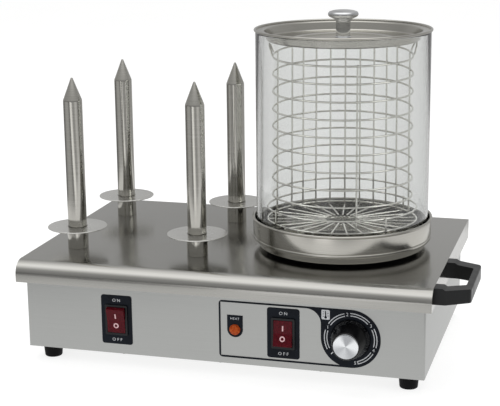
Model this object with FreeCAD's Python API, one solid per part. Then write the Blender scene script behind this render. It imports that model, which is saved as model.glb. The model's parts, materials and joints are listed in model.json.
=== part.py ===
import FreeCAD, Part
import math
import os

Vector = FreeCAD.Vector
X_AXIS = Vector(1, 0, 0)
Y_AXIS = Vector(0, 1, 0)
Z_AXIS = Vector(0, 0, 1)

# Clearances, in millimetres
rest_gap = 0.1            # under and beside a piece that stands in another
running_gap = 0.06        # round a turning shaft, per side
screw_gap = 0.2           # round a screw in its hole, per side
thread_gap = 0.05         # between a thread and its nut, per side
slide_gap = 0.5           # round a spike inside its loose disc, per side

# Sheet metal of the housing
sheet = 1.0
flange_width = 12.0
casing_corner = 2.0

# Deck: the folded top plate, wide enough for the spikes and the steamer
lip_drop = 24.2
front_roll = 16.0
rear_roll = 2.5
disc_edge_gap = 11.0
spike_pan_gap = 13.8
pan_side_gap = 26.0
pan_front_gap = 54.5
side_overhang = 7.5
front_overhang = 12.0

# Feet and bottom cover
foot_height = 16.8
foot_top_radius = 12.0
foot_base_radius = 10.0
foot_inset_x = 20.5
foot_inset_y = 21.5
foot_recess_depth = 7.0
cover_sheet = 1.0
cover_margin = 0.5
vent_count = 9
vent_length = 60.0
vent_width = 4.0
vent_gap = 7.0
cover_screw_count = 3

# Screws: shank radii, then head and nut sizes as multiples of the shank radius
m3_radius = 1.5
m4_radius = 2.0
m5_radius = 2.5
head_ratio = 1.9
head_height_ratio = 1.3
nut_ratio = 1.95
nut_height_ratio = 1.6
thread_end = 1.5

# Side handle
handle_front_gap = 14.0
handle_base_length = 119.0
handle_bar_length = 94.0
handle_reach = 38.0
handle_base_thickness = 12.0
handle_bar_thickness = 7.0
handle_leg_width = 18.0
handle_leg_taper = 3.0
handle_base_drop = 0.5
handle_bar_drop = 2.5
handle_bottom_gap = 5.5
handle_rise = 1.0
handle_chamfer = 3.0
handle_corner = 5.0
handle_screw_depth = 14.0

# Spikes
spike_pitch_x = 148.0
spike_pitch_y = 162.0
spike_radius = 11.0
spike_height = 201.2
spike_tip_length = 26.0
spike_tip_radius = 1.0
spike_solid_length = 43.5
spike_stem_length = 19.0
spike_stem_wall = 2.7
spike_root_step = 0.5       # the foot inside sleeve and disc is this much thinner, per side
spike_root_rise = 0.6
heater_radius = 5.2
heater_end_gap = 8.0
heater_tail = 8.0
sleeve_wall = 1.0
sleeve_height = 24.4
stop_radius = 34.8
stop_sheet = 1.2

# Glass cylinder
glass_radius = 100.0
glass_wall = 4.0
glass_height = 240.0

# Water pan and its seat
pan_glass_gap = 3.0
pan_wall_height = 24.6
pan_bead_radius = 1.7
pan_step = 6.0
pan_skirt_height = 7.5
pan_seat_width = 20.0
pan_well_depth = 32.5
pan_stud_count = 3
gasket_height = 4.0
gasket_inset = 9.5
well_clearance = 2.0

# Ring element under the pan, and the thermostat's bulb inside the ring
element_well_gap = 24.0
element_radius = 4.0
element_opening = 40.0
element_tail = 26.0
clamp_width = 18.0
clamp_sheet = 2.0
bulb_radius = 3.0
bulb_clamp_gap = 4.0
bulb_ring_gap = 8.0
capillary_radius = 0.8
capillary_bend = 4.0
capillary_drop = 24.0

# Lid and its knob
lid_overhang = 1.8
lid_bead_radius = 1.5
lid_glass_gap = 5.0
lid_cup_taper = 2.0
lid_cup_depth = 10.7
lid_rib_inset = 30.0
lid_rib_height = 1.4
lid_rib_width = 5.0
lid_knob_stem_radius = 8.6
lid_knob_neck_radius = 7.6
lid_knob_cap_radius = 17.8
lid_knob_height = 33.0
lid_knob_cap_height = 9.5
lid_screw_length = 12.0

# Wire basket
wire_radius = 1.1
weld_gap = 0.03
basket_glass_gap = 14.3
hoop_count = 9
base_hoop_step = 5.3
base_hoop_gap = 14.0
base_hoop_rise = 31.7
hoop_rise = 28.3
spoke_count = 27
spoke_phase = 6.2
back_uprights = (1, 3, 4, 5, 6, 7, 8, 9, 10, 11, 13)
front_upright_angle = -66.5
floor_ring_radius = 21.0
basket_leg_count = 4
loop_radius = 12.5
loop_tilt = 20.0
loop_angle = 15.0
lid_loop_gap = 5.7

# Rocker switches
left_switch_margin = 110.0
right_switch_offset = 75.2
plate_sheet = 0.5
plate_side_margin = 5.1
plate_end_margin = 11.2
plate_corner = 3.0
bezel_lip = 1.1
bezel_thickness = 2.0
bezel_corner = 1.5
switch_wall = 1.3
switch_body_back = 7.3
rocker_width = 21.0
rocker_half_height = 14.4
rocker_side_gap = 0.4
rocker_end_gap = 0.3
rocker_pivot_depth = 2.0
rocker_crown = 2.4
rocker_dip = 1.2
rocker_depth = 7.0
rocker_tilt = 9.5
pivot_stub_radius = 1.5
blade_thickness = 0.8
blade_width = 6.3
blade_length = 9.0

# Outlined label that runs into the round dial plate
dial_margin = 81.2
outline_length = 149.0
outline_width = 2.0
outline_gap = 2.1
outline_corner = 4.0
label_margin = 6.45

# Thermostat and its knob
knob_base_radius = 22.3
knob_front_radius = 15.2
knob_depth = 25.5
knob_panel_gap = 0.8
knob_wall = 2.5
knob_cavity_depth = 14.0
knob_hub_wall = 3.5
knob_hub_inset = 2.0
knob_rim = 1.2
knob_face_recess = 1.0
knob_face_sheet = 1.4
shaft_radius = 3.0
shaft_socket_depth = 12.0
shaft_inside = 10.0
thermostat_width = 38.0
thermostat_depth = 26.0

# Signal lamp
lamp_offset = 130.4
lamp_plate_half_width = 9.0
lamp_plate_rise = 16.5
lens_overlap = 1.3
lens_flange = 1.5
lens_dome = 3.0
lamp_body_radius = 4.8
lamp_body_length = 24.0

# Supply entry and terminal block
gland_margin = 80.0
gland_rise = 28.0
gland_bore_radius = 4.5
gland_wall = 3.5
gland_head_lip = 3.0
gland_head_length = 11.5
gland_inside = 12.0
locknut_height = 4.0
terminal_margin = 110.0
terminal_rear_gap = 76.0
terminal_length = 48.0
terminal_width = 22.0
terminal_height = 18.0
terminal_poles = 3

# Steamer radii, from the glass outwards and inwards
pan_radius = glass_radius + pan_glass_gap + sheet
skirt_radius = pan_radius - pan_step
well_radius = skirt_radius - pan_seat_width
gasket_width = pan_seat_width - gasket_inset - well_clearance - screw_gap
stud_circle = skirt_radius - gasket_inset - gasket_width / 2
element_ring_radius = well_radius - element_well_gap
lid_radius = glass_radius + lid_overhang
lid_cup_radius = glass_radius - glass_wall - lid_glass_gap
lid_rib_radius = lid_cup_radius - lid_cup_taper - lid_rib_inset
hoop_radius = glass_radius - glass_wall - basket_glass_gap - wire_radius
base_hoop_radius = hoop_radius + base_hoop_step
upright_radius = hoop_radius - 2 * wire_radius - weld_gap
basket_leg_radius = base_hoop_radius + 2 * wire_radius + weld_gap

# Plan of the deck and casing
deck_width = disc_edge_gap + 2 * stop_radius + spike_pitch_x + spike_pan_gap + 2 * pan_radius + pan_side_gap
deck_depth = 2 * pan_radius + 2 * pan_front_gap
casing_width = deck_width - 2 * side_overhang
casing_depth = deck_depth - 2 * front_overhang
handle_x = deck_width / 2
handle_y = handle_front_gap + handle_base_length / 2 - deck_depth / 2
front_face = -casing_depth / 2
inner_front_face = front_face + sheet
rear_face = casing_depth / 2
pan_x = deck_width / 2 - pan_side_gap - pan_radius
spike_centre_x = disc_edge_gap + stop_radius + spike_pitch_x / 2 - deck_width / 2

# Switches and the panel that they set the height of
rocker_radius = math.hypot(rocker_half_height, rocker_pivot_depth + rocker_crown)
switch_body_width = rocker_width + 2 * rocker_side_gap + 2 * switch_wall
switch_body_height = 2 * (rocker_radius + rocker_end_gap + switch_wall)
bezel_width = switch_body_width + 2 * bezel_lip
bezel_height = switch_body_height + 2 * bezel_lip
plate_width = bezel_width + 2 * plate_side_margin
plate_height = bezel_height + 2 * plate_end_margin
pivot_stub_length = rocker_side_gap + switch_wall / 2
dial_radius = plate_height / 2 + outline_gap + outline_width
bezel_face = front_face - plate_sheet - bezel_thickness
rocker_pivot_y = bezel_face + rocker_pivot_depth
dial_x = casing_width / 2 - dial_margin
outline_left = dial_x - outline_length
left_switch_x = left_switch_margin - casing_width / 2
right_switch_x = dial_x - right_switch_offset
lamp_x = dial_x - lamp_offset
lens_radius = lamp_body_radius + lens_overlap

# Heights, from the floor up
casing_floor = foot_height + cover_sheet
panel_low = casing_floor + label_margin
panel_centre_z = panel_low + dial_radius
panel_high = panel_centre_z + dial_radius
lip_bottom = panel_high + label_margin
deck_top = lip_bottom + lip_drop
deck_underside = deck_top - sheet
sleeve_radius = spike_radius + rest_gap + sleeve_wall
stop_level = deck_top + sleeve_height + rest_gap
spike_root_radius = spike_radius - spike_root_step
spike_root_top = stop_level + stop_sheet + spike_root_rise
spike_bottom = deck_top - spike_stem_length
spike_top = deck_top + spike_height
spike_bore_radius = heater_radius + rest_gap
spike_stem_radius = spike_bore_radius + spike_stem_wall
heater_length = spike_stem_length + spike_height - spike_tip_length - spike_solid_length
seat_level = deck_top + gasket_height
ledge_level = seat_level + pan_skirt_height
pan_rim_level = ledge_level + pan_wall_height
well_floor_level = seat_level - pan_well_depth
clamp_level = well_floor_level - 2 * element_radius
m5_nut_height = nut_height_ratio * m5_radius
glass_bottom = ledge_level + sheet + rest_gap
glass_top = glass_bottom + glass_height
lid_flange_level = glass_top + rest_gap
lid_floor_level = lid_flange_level - lid_cup_depth + sheet
basket_bottom = seat_level + sheet + rest_gap
lower_base_hoop = basket_bottom + base_hoop_rise
upper_base_hoop = lower_base_hoop + base_hoop_gap
lowest_hoop = lower_base_hoop + hoop_rise
tilt_sine = math.sin(math.radians(loop_tilt))
tilt_cosine = math.cos(math.radians(loop_tilt))
loop_foot = wire_radius + wire_radius * tilt_sine + weld_gap
loop_height = loop_foot + (loop_radius + wire_radius) * tilt_cosine
top_hoop = lid_floor_level - sheet - lid_loop_gap - loop_height
hoop_pitch = (top_hoop - lowest_hoop) / (hoop_count - 1)
spoke_level = lower_base_hoop - 2 * wire_radius - weld_gap

# Depths of the knob and thermostat
knob_back = front_face - plate_sheet - knob_panel_gap
knob_front = knob_back - knob_depth
knob_hub_radius = shaft_radius + knob_hub_wall
knob_face_radius = knob_front_radius - knob_rim
screw_offset = (knob_hub_radius + knob_base_radius - knob_wall) / 2
thermostat_back = inner_front_face + thermostat_depth

# Supply entry
gland_x = gland_margin - casing_width / 2
gland_z = casing_floor + gland_rise
gland_thread_radius = gland_bore_radius + gland_wall
gland_head_radius = gland_thread_radius + gland_head_lip
terminal_x = terminal_margin - casing_width / 2
terminal_y = rear_face - terminal_rear_gap

# The origin is below the middle of the whole width and depth
right_reach = max(deck_width / 2, handle_x + handle_reach)
centre_x = (deck_width / 2 - right_reach) / 2
front_reach = max(deck_depth / 2, -knob_front)
rear_reach = max(deck_depth / 2, rear_face + gland_head_length)
centre_y = (front_reach - rear_reach) / 2


def place(shape, x=0.0, y=0.0, z=0.0):
    """Return the shape moved by the given amounts."""
    moved = shape.copy()
    moved.translate(Vector(x, y, z))
    return moved


def write(node, shapes):
    """Move the solids of one node into the final frame and write their STEP file."""
    solids = []
    for shape in shapes:
        solids.extend(place(shape, x=centre_x, y=centre_y).Solids)
    result = solids[0] if len(solids) == 1 else Part.makeCompound(solids)
    result.exportStep("parts/" + node + ".step")


def block(x0, x1, y0, y1, z0, z1):
    """Return a box between two corners."""
    return Part.makeBox(x1 - x0, y1 - y0, z1 - z0, Vector(x0, y0, z0))


def upright_cylinder(x, y, z0, z1, radius):
    """Return a cylinder that stands along Z."""
    return Part.makeCylinder(radius, z1 - z0, Vector(x, y, z0), Z_AXIS)


def depth_cylinder(x, z, y0, y1, radius):
    """Return a cylinder that lies along Y, from y0 back to y1."""
    return Part.makeCylinder(radius, y1 - y0, Vector(x, y0, z), Y_AXIS)


def turned(points, x=0.0, y=0.0):
    """Return the solid turned about a vertical axis from (radius, height) points."""
    corners = [Vector(radius, 0, height) for radius, height in points]
    outline = Part.makePolygon(corners + corners[:1])
    solid = Part.Face(outline).revolve(Vector(0, 0, 0), Z_AXIS, 360)
    return place(solid, x, y)


def turned_forward(points, x, z):
    """Return the solid turned about an axis along Y from (radius, y) points."""
    corners = [Vector(radius, depth, 0) for radius, depth in points]
    outline = Part.makePolygon(corners + corners[:1])
    solid = Part.Face(outline).revolve(Vector(0, 0, 0), Y_AXIS, 360)
    return place(solid, x, 0, z)


def dome(radius, height):
    """Return a spherical cap on the level plane, about the vertical axis."""
    slope = math.atan2(height, radius)
    sphere_radius = radius / math.sin(2 * slope)
    middle = Vector(sphere_radius * math.sin(slope), 0, height - sphere_radius * (1 - math.cos(slope)))
    rim = Vector(radius, 0, 0)
    top = Vector(0, 0, height)
    centre = Vector(0, 0, 0)
    edges = [
        Part.LineSegment(centre, rim).toShape(),
        Part.Arc(rim, middle, top).toShape(),
        Part.LineSegment(top, centre).toShape(),
    ]
    return Part.Face(Part.Wire(edges)).revolve(centre, Z_AXIS, 360)


def torus(radius, thickness, x, y, z):
    """Return a level ring of round section."""
    return Part.makeTorus(radius, thickness, Vector(x, y, z), Z_AXIS)


def panel_shape(x0, x1, z0, z1, corner, y0, y1):
    """Return an upright plate with rounded corners, from y0 back to y1."""
    plate = block(x0, x1, y0, y1, z0, z1)
    edges = [edge for edge in plate.Edges if abs(edge.tangentAt(edge.FirstParameter).y) > 0.9]
    return plate.makeFillet(corner, edges)


def hexagon(radius, height, x, y, z):
    """Return a hexagonal prism that stands along Z."""
    corners = []
    for side in range(6):
        angle = math.radians(60 * side)
        corners.append(Vector(x + radius * math.cos(angle), y + radius * math.sin(angle), z))
    return Part.Face(Part.makePolygon(corners + corners[:1])).extrude(Vector(0, 0, height))


def screw_up(x, y, z, shank, length):
    """Return a pan-head screw that points up, with its head's upper face at z."""
    head = upright_cylinder(x, y, z - head_height_ratio * shank, z, head_ratio * shank)
    return head.fuse(upright_cylinder(x, y, z, z + length, shank)).removeSplitter()


def nut(x, y, z, shank):
    """Return a hexagonal nut whose lower face is at z."""
    height = nut_height_ratio * shank
    body = hexagon(nut_ratio * shank, height, x, y, z)
    return body.cut(upright_cylinder(x, y, z, z + height, shank + thread_gap))


def bent_tube(points, bend, radius):
    """Return a round tube along straight runs joined by tangent arcs."""
    corners = [Vector(*point) for point in points]
    edges = []
    start = corners[0]
    for before, corner, after in zip(corners, corners[1:], corners[2:]):
        inward = (before - corner).normalize()
        outward = (after - corner).normalize()
        turn = math.pi - inward.getAngle(outward)
        reach = bend * math.tan(turn / 2)
        arc_start = corner + inward * reach
        arc_end = corner + outward * reach
        bisector = (inward + outward).normalize()
        middle = corner + bisector * (bend / math.cos(turn / 2) - bend)
        edges.append(Part.LineSegment(start, arc_start).toShape())
        edges.append(Part.Arc(arc_start, middle, arc_end).toShape())
        start = arc_end
    edges.append(Part.LineSegment(start, corners[-1]).toShape())
    path = Part.Wire(edges)
    section = Part.Wire(Part.makeCircle(radius, corners[0], (corners[1] - corners[0]).normalize()))
    return path.makePipeShell([section], True, False)


def around(x, y, radius, angle):
    """Return the point at an angle in degrees on a circle about (x, y)."""
    return x + radius * math.cos(math.radians(angle)), y + radius * math.sin(math.radians(angle))


def spike_places():
    """Return each spike's name with its x and y."""
    places = []
    for row, side_y in (("front", -1), ("rear", 1)):
        for column, side_x in (("left", -1), ("right", 1)):
            x = spike_centre_x + side_x * spike_pitch_x / 2
            y = side_y * spike_pitch_y / 2
            places.append((row + "_" + column, x, y))
    return places


def foot_places():
    """Return each foot's name with its x and y."""
    places = []
    for row, side_y in (("front", -1), ("rear", 1)):
        for column, side_x in (("left", -1), ("right", 1)):
            x = side_x * (casing_width / 2 - foot_inset_x)
            y = side_y * (casing_depth / 2 - foot_inset_y)
            places.append((row + "_" + column, x, y))
    return places


def pan_stud_places():
    """Return the places of the pan's studs."""
    return [around(pan_x, 0, stud_circle, 90 + 360 * i / pan_stud_count) for i in range(pan_stud_count)]


def cover_screw_places():
    """Return the places of the bottom cover's screws along the front and rear flanges."""
    row_y = casing_depth / 2 - flange_width / 2
    pitch = casing_width / (cover_screw_count + 1)
    columns = [pitch * (i + 1) - casing_width / 2 for i in range(cover_screw_count)]
    return [(x, side * row_y) for x in columns for side in (-1, 1)]


def handle_screw_offsets():
    """Return where the handle screws lie along the handle, from its middle."""
    offset = handle_base_length / 2 - handle_leg_width / 2
    return (-offset, offset)


def deck_profile(inset, x0, x1):
    """Return the deck's outline, inset on all sides but the lower one, drawn out from x0 to x1."""
    front = inset - deck_depth / 2
    rear = deck_depth / 2 - inset
    top = deck_top - inset
    roll = front_roll - inset
    small_roll = rear_roll - inset
    slant = math.sqrt(0.5)
    corner_a = Vector(x0, front, lip_bottom)
    corner_b = Vector(x0, front, top - roll)
    middle_b = Vector(x0, front + roll * (1 - slant), top - roll * (1 - slant))
    corner_c = Vector(x0, front + roll, top)
    corner_d = Vector(x0, rear - small_roll, top)
    middle_d = Vector(x0, rear - small_roll * (1 - slant), top - small_roll * (1 - slant))
    corner_e = Vector(x0, rear, top - small_roll)
    corner_f = Vector(x0, rear, lip_bottom)
    edges = [
        Part.LineSegment(corner_a, corner_b).toShape(),
        Part.Arc(corner_b, middle_b, corner_c).toShape(),
        Part.LineSegment(corner_c, corner_d).toShape(),
        Part.Arc(corner_d, middle_d, corner_e).toShape(),
        Part.LineSegment(corner_e, corner_f).toShape(),
        Part.LineSegment(corner_f, corner_a).toShape(),
    ]
    return Part.Face(Part.Wire(edges)).extrude(Vector(x1 - x0, 0, 0))


def deck_plate():
    """Return the folded top plate with its rolled front edge, lip and holes."""
    shell = deck_profile(0, -deck_width / 2, deck_width / 2)
    shell = shell.cut(deck_profile(sheet, sheet - deck_width / 2, deck_width / 2 - sheet))
    cuts = [upright_cylinder(pan_x, 0, deck_underside, deck_top, well_radius + well_clearance)]
    for x, y in pan_stud_places():
        cuts.append(upright_cylinder(x, y, deck_underside, deck_top, m5_radius + screw_gap))
    for name, x, y in spike_places():
        cuts.append(upright_cylinder(x, y, deck_underside, deck_top, spike_stem_radius + screw_gap))
    for offset in handle_screw_offsets():
        hole = Part.makeCylinder(
            m4_radius + screw_gap, 2 * sheet, Vector(handle_x - 2 * sheet, handle_y + offset, handle_level()),
            X_AXIS)
        cuts.append(hole)
    return shell.cut(Part.makeCompound(cuts))


def casing_box(inset):
    """Return the casing's outer block, inset all round, with its corners and front top fold."""
    half_w = casing_width / 2 - inset
    half_d = casing_depth / 2 - inset
    top = deck_underside - inset
    box = block(-half_w, half_w, -half_d, half_d, casing_floor + inset, top)
    corners = [edge for edge in box.Edges if abs(edge.tangentAt(edge.FirstParameter).z) > 0.9]
    box = box.makeFillet(casing_corner - inset, corners)
    front = []
    for edge in box.Edges:
        along_x = abs(edge.tangentAt(edge.FirstParameter).x) > 0.9
        at_front = edge.BoundBox.YMax < -half_d + 0.01
        if along_x and at_front and edge.BoundBox.ZMin > top - 0.01:
            front.append(edge)
    fold = max(casing_corner, front_roll - front_overhang)
    return box.makeFillet(fold - inset, front)


def casing_shell():
    """Return the four walls with their inward flanges and the openings for the controls."""
    outer = casing_box(0)
    inner = casing_box(sheet)
    open_w = casing_width / 2 - flange_width
    open_d = casing_depth / 2 - flange_width
    mouth = block(-open_w, open_w, -open_d, open_d, casing_floor, deck_underside)
    cuts = [inner, mouth]
    for x in (left_switch_x, right_switch_x):
        half_x = switch_body_width / 2 + screw_gap
        half_z = switch_body_height / 2 + screw_gap
        cuts.append(block(
            x - half_x, x + half_x, front_face, inner_front_face,
            panel_centre_z - half_z, panel_centre_z + half_z))
    cuts.append(depth_cylinder(
        lamp_x, panel_centre_z, front_face, inner_front_face, lamp_body_radius + screw_gap))
    cuts.append(depth_cylinder(
        dial_x, panel_centre_z, front_face, inner_front_face, shaft_radius + screw_gap))
    for x in thermostat_screw_places():
        cuts.append(depth_cylinder(
            x, panel_centre_z, front_face, inner_front_face, m4_radius + screw_gap))
    cuts.append(depth_cylinder(
        gland_x, gland_z, rear_face - sheet, rear_face, gland_thread_radius + screw_gap))
    for x, y in cover_screw_places():
        cuts.append(upright_cylinder(x, y, casing_floor, casing_floor + sheet, m3_radius + thread_gap))
    return outer.cut(Part.makeCompound(cuts))


def bottom_cover():
    """Return the flat bottom cover with two rows of vent slots."""
    half_w = casing_width / 2 - cover_margin
    half_d = casing_depth / 2 - cover_margin
    plate = block(-half_w, half_w, -half_d, half_d, foot_height, casing_floor)
    cuts = []
    for side in (-1, 1):
        for i in range(vent_count):
            y = (i - (vent_count - 1) / 2) * (vent_width + vent_gap)
            x = side * casing_width / 4
            slot = block(
                x - vent_length / 2, x + vent_length / 2, y - vent_width / 2, y + vent_width / 2,
                foot_height, casing_floor)
            cuts.append(slot)
    for name, x, y in foot_places():
        cuts.append(upright_cylinder(x, y, foot_height, casing_floor, m4_radius + screw_gap))
    for x, y in cover_screw_places():
        cuts.append(upright_cylinder(x, y, foot_height, casing_floor, m3_radius + screw_gap))
    for x, y in terminal_screw_places():
        cuts.append(upright_cylinder(x, y, foot_height, casing_floor, m3_radius + screw_gap))
    return plate.cut(Part.makeCompound(cuts))


def foot(x, y):
    """Return one tapered foot with the recess for its screw."""
    body = Part.makeCone(foot_base_radius, foot_top_radius, foot_height, Vector(x, y, 0), Z_AXIS)
    body = body.cut(upright_cylinder(x, y, 0, foot_recess_depth, head_ratio * m4_radius + 1))
    return body.cut(upright_cylinder(x, y, 0, foot_height, m4_radius + screw_gap))


def foot_screws():
    """Return the screws that hold the feet, with their heads up in the recesses."""
    length = casing_floor - foot_recess_depth + nut_height_ratio * m4_radius + thread_end
    return [screw_up(x, y, foot_recess_depth, m4_radius, length) for name, x, y in foot_places()]


def foot_nuts():
    """Return the nuts on the inside of the bottom cover."""
    return [nut(x, y, casing_floor, m4_radius) for name, x, y in foot_places()]


def terminal_screw_places():
    """Return the places of the terminal block's two screws."""
    offset = terminal_length / 2 - 2.5 * m3_radius
    return [(terminal_x - offset, terminal_y), (terminal_x + offset, terminal_y)]


def cover_screws():
    """Return the screws under the bottom cover, for the casing and for the terminal block."""
    screws = []
    for x, y in cover_screw_places():
        screws.append(screw_up(x, y, foot_height, m3_radius, cover_sheet + 4 * sheet))
    for x, y in terminal_screw_places():
        screws.append(screw_up(x, y, foot_height, m3_radius, cover_sheet + terminal_height / 2))
    return screws


def handle_level():
    """Return the height of the handle screws."""
    return lip_bottom + lip_drop / 2


def side_handle():
    """Return the bridge handle: two feet, two tapering legs and the outer bar."""
    base = handle_base_length / 2
    bar = handle_bar_length / 2
    opening_base = base - handle_leg_width
    opening_bar = bar - handle_leg_width + handle_leg_taper
    far_x = handle_x + handle_reach
    base_x = handle_x + handle_base_thickness
    bar_x = far_x - handle_bar_thickness
    outline = [
        (handle_x, -base), (base_x, -base), (far_x, -bar), (far_x, bar), (base_x, base), (handle_x, base)]
    opening = [
        (handle_x - 1, -opening_base), (base_x, -opening_base), (bar_x, -opening_bar),
        (bar_x, opening_bar), (base_x, opening_base), (handle_x - 1, opening_base)]
    base_bottom = lip_bottom + handle_bottom_gap
    base_top = deck_top - handle_base_drop
    bar_top = deck_top - handle_bar_drop
    side = [
        (handle_x, base_bottom), (base_x, base_bottom), (far_x, base_bottom + handle_rise),
        (far_x, bar_top - handle_chamfer / 2), (far_x - handle_chamfer / 2, bar_top), (base_x, bar_top),
        (base_x - handle_chamfer, base_top), (handle_x, base_top)]
    body = upright_prism(outline, handle_corner).common(side_prism(side, base))
    body = body.cut(upright_prism(opening, 3.0))
    for offset in handle_screw_offsets():
        bore = Part.makeCylinder(
            m4_radius + thread_gap, handle_screw_depth + 1,
            Vector(handle_x, handle_y + offset, handle_level()), X_AXIS)
        body = body.cut(bore)
    return body


def upright_prism(outline, corner):
    """Return a tall prism about handle_y from (x, y) points, its far corners rounded."""
    corners = [Vector(x, handle_y + y, lip_bottom - 5) for x, y in outline]
    prism = Part.Face(Part.makePolygon(corners + corners[:1])).extrude(Vector(0, 0, lip_drop + 10))
    base_x = handle_x + handle_base_thickness
    edges = []
    for edge in prism.Edges:
        upright = abs(edge.tangentAt(edge.FirstParameter).z) > 0.9
        if upright and edge.Vertexes[0].X > base_x + 1:
            edges.append(edge)
    return prism.makeFillet(corner, edges)


def side_prism(outline, half_length):
    """Return a prism along Y about handle_y from (x, z) points."""
    corners = [Vector(x, handle_y - half_length, z) for x, z in outline]
    return Part.Face(Part.makePolygon(corners + corners[:1])).extrude(Vector(0, 2 * half_length, 0))


def handle_screws():
    """Return the handle screws, with their heads inside the deck's lip."""
    screws = []
    for offset in handle_screw_offsets():
        start = Vector(handle_x - sheet, handle_y + offset, handle_level())
        head_height = head_height_ratio * m4_radius
        shank = Part.makeCylinder(m4_radius, sheet + handle_screw_depth, start, X_AXIS)
        head = Part.makeCylinder(head_ratio * m4_radius, head_height, start - X_AXIS * head_height, X_AXIS)
        screws.append(shank.fuse(head).removeSplitter())
    return screws


def spike(x, y):
    """Return one spike: conical tip, thick tube, thinner foot and the stem through the deck."""
    bore_top = spike_bottom + heater_length + heater_end_gap
    points = [
        (spike_bore_radius, spike_bottom), (spike_stem_radius, spike_bottom),
        (spike_stem_radius, deck_top), (spike_root_radius, deck_top), (spike_root_radius, spike_root_top),
        (spike_radius, spike_root_top), (spike_radius, spike_top - spike_tip_length),
        (spike_tip_radius, spike_top), (0, spike_top), (0, bore_top), (spike_bore_radius, bore_top)]
    return turned(points, x, y)


def spike_heater(x, y):
    """Return one cartridge heater inside its spike, with its lead stub below the stem."""
    heater = upright_cylinder(x, y, spike_bottom, spike_bottom + heater_length, heater_radius)
    return heater.fuse(upright_cylinder(x, y, spike_bottom - heater_tail, spike_bottom, heater_radius / 2))


def spike_nut(x, y):
    """Return the nut that clamps a spike's stem under the deck."""
    height = spike_stem_length / 3
    body = hexagon(1.6 * spike_stem_radius, height, x, y, deck_underside - height)
    return body.cut(upright_cylinder(
        x, y, deck_underside - height, deck_underside, spike_stem_radius + thread_gap))


def spike_sleeve(x, y):
    """Return the sleeve round the foot of a spike."""
    outer = upright_cylinder(x, y, deck_top, deck_top + sleeve_height, sleeve_radius)
    return outer.cut(upright_cylinder(
        x, y, deck_top, deck_top + sleeve_height, spike_root_radius + rest_gap))


def stop_disc(x, y):
    """Return the loose disc that rests on a sleeve."""
    disc = upright_cylinder(x, y, stop_level, stop_level + stop_sheet, stop_radius)
    return disc.cut(upright_cylinder(
        x, y, stop_level, stop_level + stop_sheet, spike_radius + slide_gap))


def boiler_pan():
    """Return the water pan: rolled rim, wall, glass ledge, skirt, seat, well and studs."""
    points = [
        (0, well_floor_level), (well_radius, well_floor_level), (well_radius, seat_level),
        (skirt_radius, seat_level), (skirt_radius, ledge_level), (pan_radius, ledge_level),
        (pan_radius, pan_rim_level), (pan_radius - sheet, pan_rim_level),
        (pan_radius - sheet, ledge_level + sheet), (skirt_radius - sheet, ledge_level + sheet),
        (skirt_radius - sheet, seat_level + sheet), (well_radius - sheet, seat_level + sheet),
        (well_radius - sheet, well_floor_level + sheet), (0, well_floor_level + sheet)]
    pan = turned(points, pan_x)
    pan = pan.fuse(torus(pan_radius - sheet / 2, pan_bead_radius, pan_x, 0, pan_rim_level))
    stud_end = deck_underside - m5_nut_height - thread_end
    for x, y in pan_stud_places():
        pan = pan.fuse(upright_cylinder(x, y, stud_end, seat_level, m5_radius))
    clamp_stud_end = clamp_level - clamp_sheet - m5_nut_height - thread_end
    pan = pan.fuse(upright_cylinder(pan_x, 0, clamp_stud_end, well_floor_level, m5_radius))
    return pan.removeSplitter()


def pan_gasket():
    """Return the black ring between the pan and the deck."""
    outer_radius = skirt_radius - gasket_inset
    inner_radius = outer_radius - gasket_width
    ring = upright_cylinder(pan_x, 0, deck_top, seat_level, outer_radius)
    cuts = [upright_cylinder(pan_x, 0, deck_top, seat_level, inner_radius)]
    for x, y in pan_stud_places():
        cuts.append(upright_cylinder(x, y, deck_top, seat_level, m5_radius + screw_gap))
    return ring.cut(Part.makeCompound(cuts))


def pan_nuts():
    """Return the nuts under the deck and the one under the element clamp."""
    nuts = [nut(x, y, deck_underside - m5_nut_height, m5_radius) for x, y in pan_stud_places()]
    nuts.append(nut(pan_x, 0, clamp_level - clamp_sheet - m5_nut_height, m5_radius))
    return nuts


def heating_element():
    """Return the tubular ring element with its two ends turned down."""
    level = well_floor_level - element_radius
    half = element_opening / 2
    sweep = 360 - element_opening
    ring = Part.makeTorus(element_ring_radius, element_radius, Vector(0, 0, 0), Z_AXIS, -180, 180, sweep)
    ring.rotate(Vector(0, 0, 0), Z_AXIS, 90 + half)
    element = place(ring, pan_x, 0, level)
    for angle in (90 - half, 90 + half):
        x, y = around(pan_x, 0, element_ring_radius, angle)
        element = element.fuse(Part.makeSphere(element_radius, Vector(x, y, level)))
        element = element.fuse(upright_cylinder(x, y, level - element_tail, level, element_radius))
    return element


def element_clamp():
    """Return the bar that holds the element against the pan."""
    reach = element_ring_radius + 2 * element_radius
    bottom = clamp_level - clamp_sheet
    bar = block(
        pan_x - reach, pan_x + reach, -clamp_width / 2, clamp_width / 2, bottom, clamp_level)
    return bar.cut(upright_cylinder(pan_x, 0, bottom, clamp_level, m5_radius + screw_gap))


def glass_cylinder():
    """Return the open glass tube."""
    outer = upright_cylinder(pan_x, 0, glass_bottom, glass_top, glass_radius)
    return outer.cut(upright_cylinder(pan_x, 0, glass_bottom, glass_top, glass_radius - glass_wall))


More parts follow.
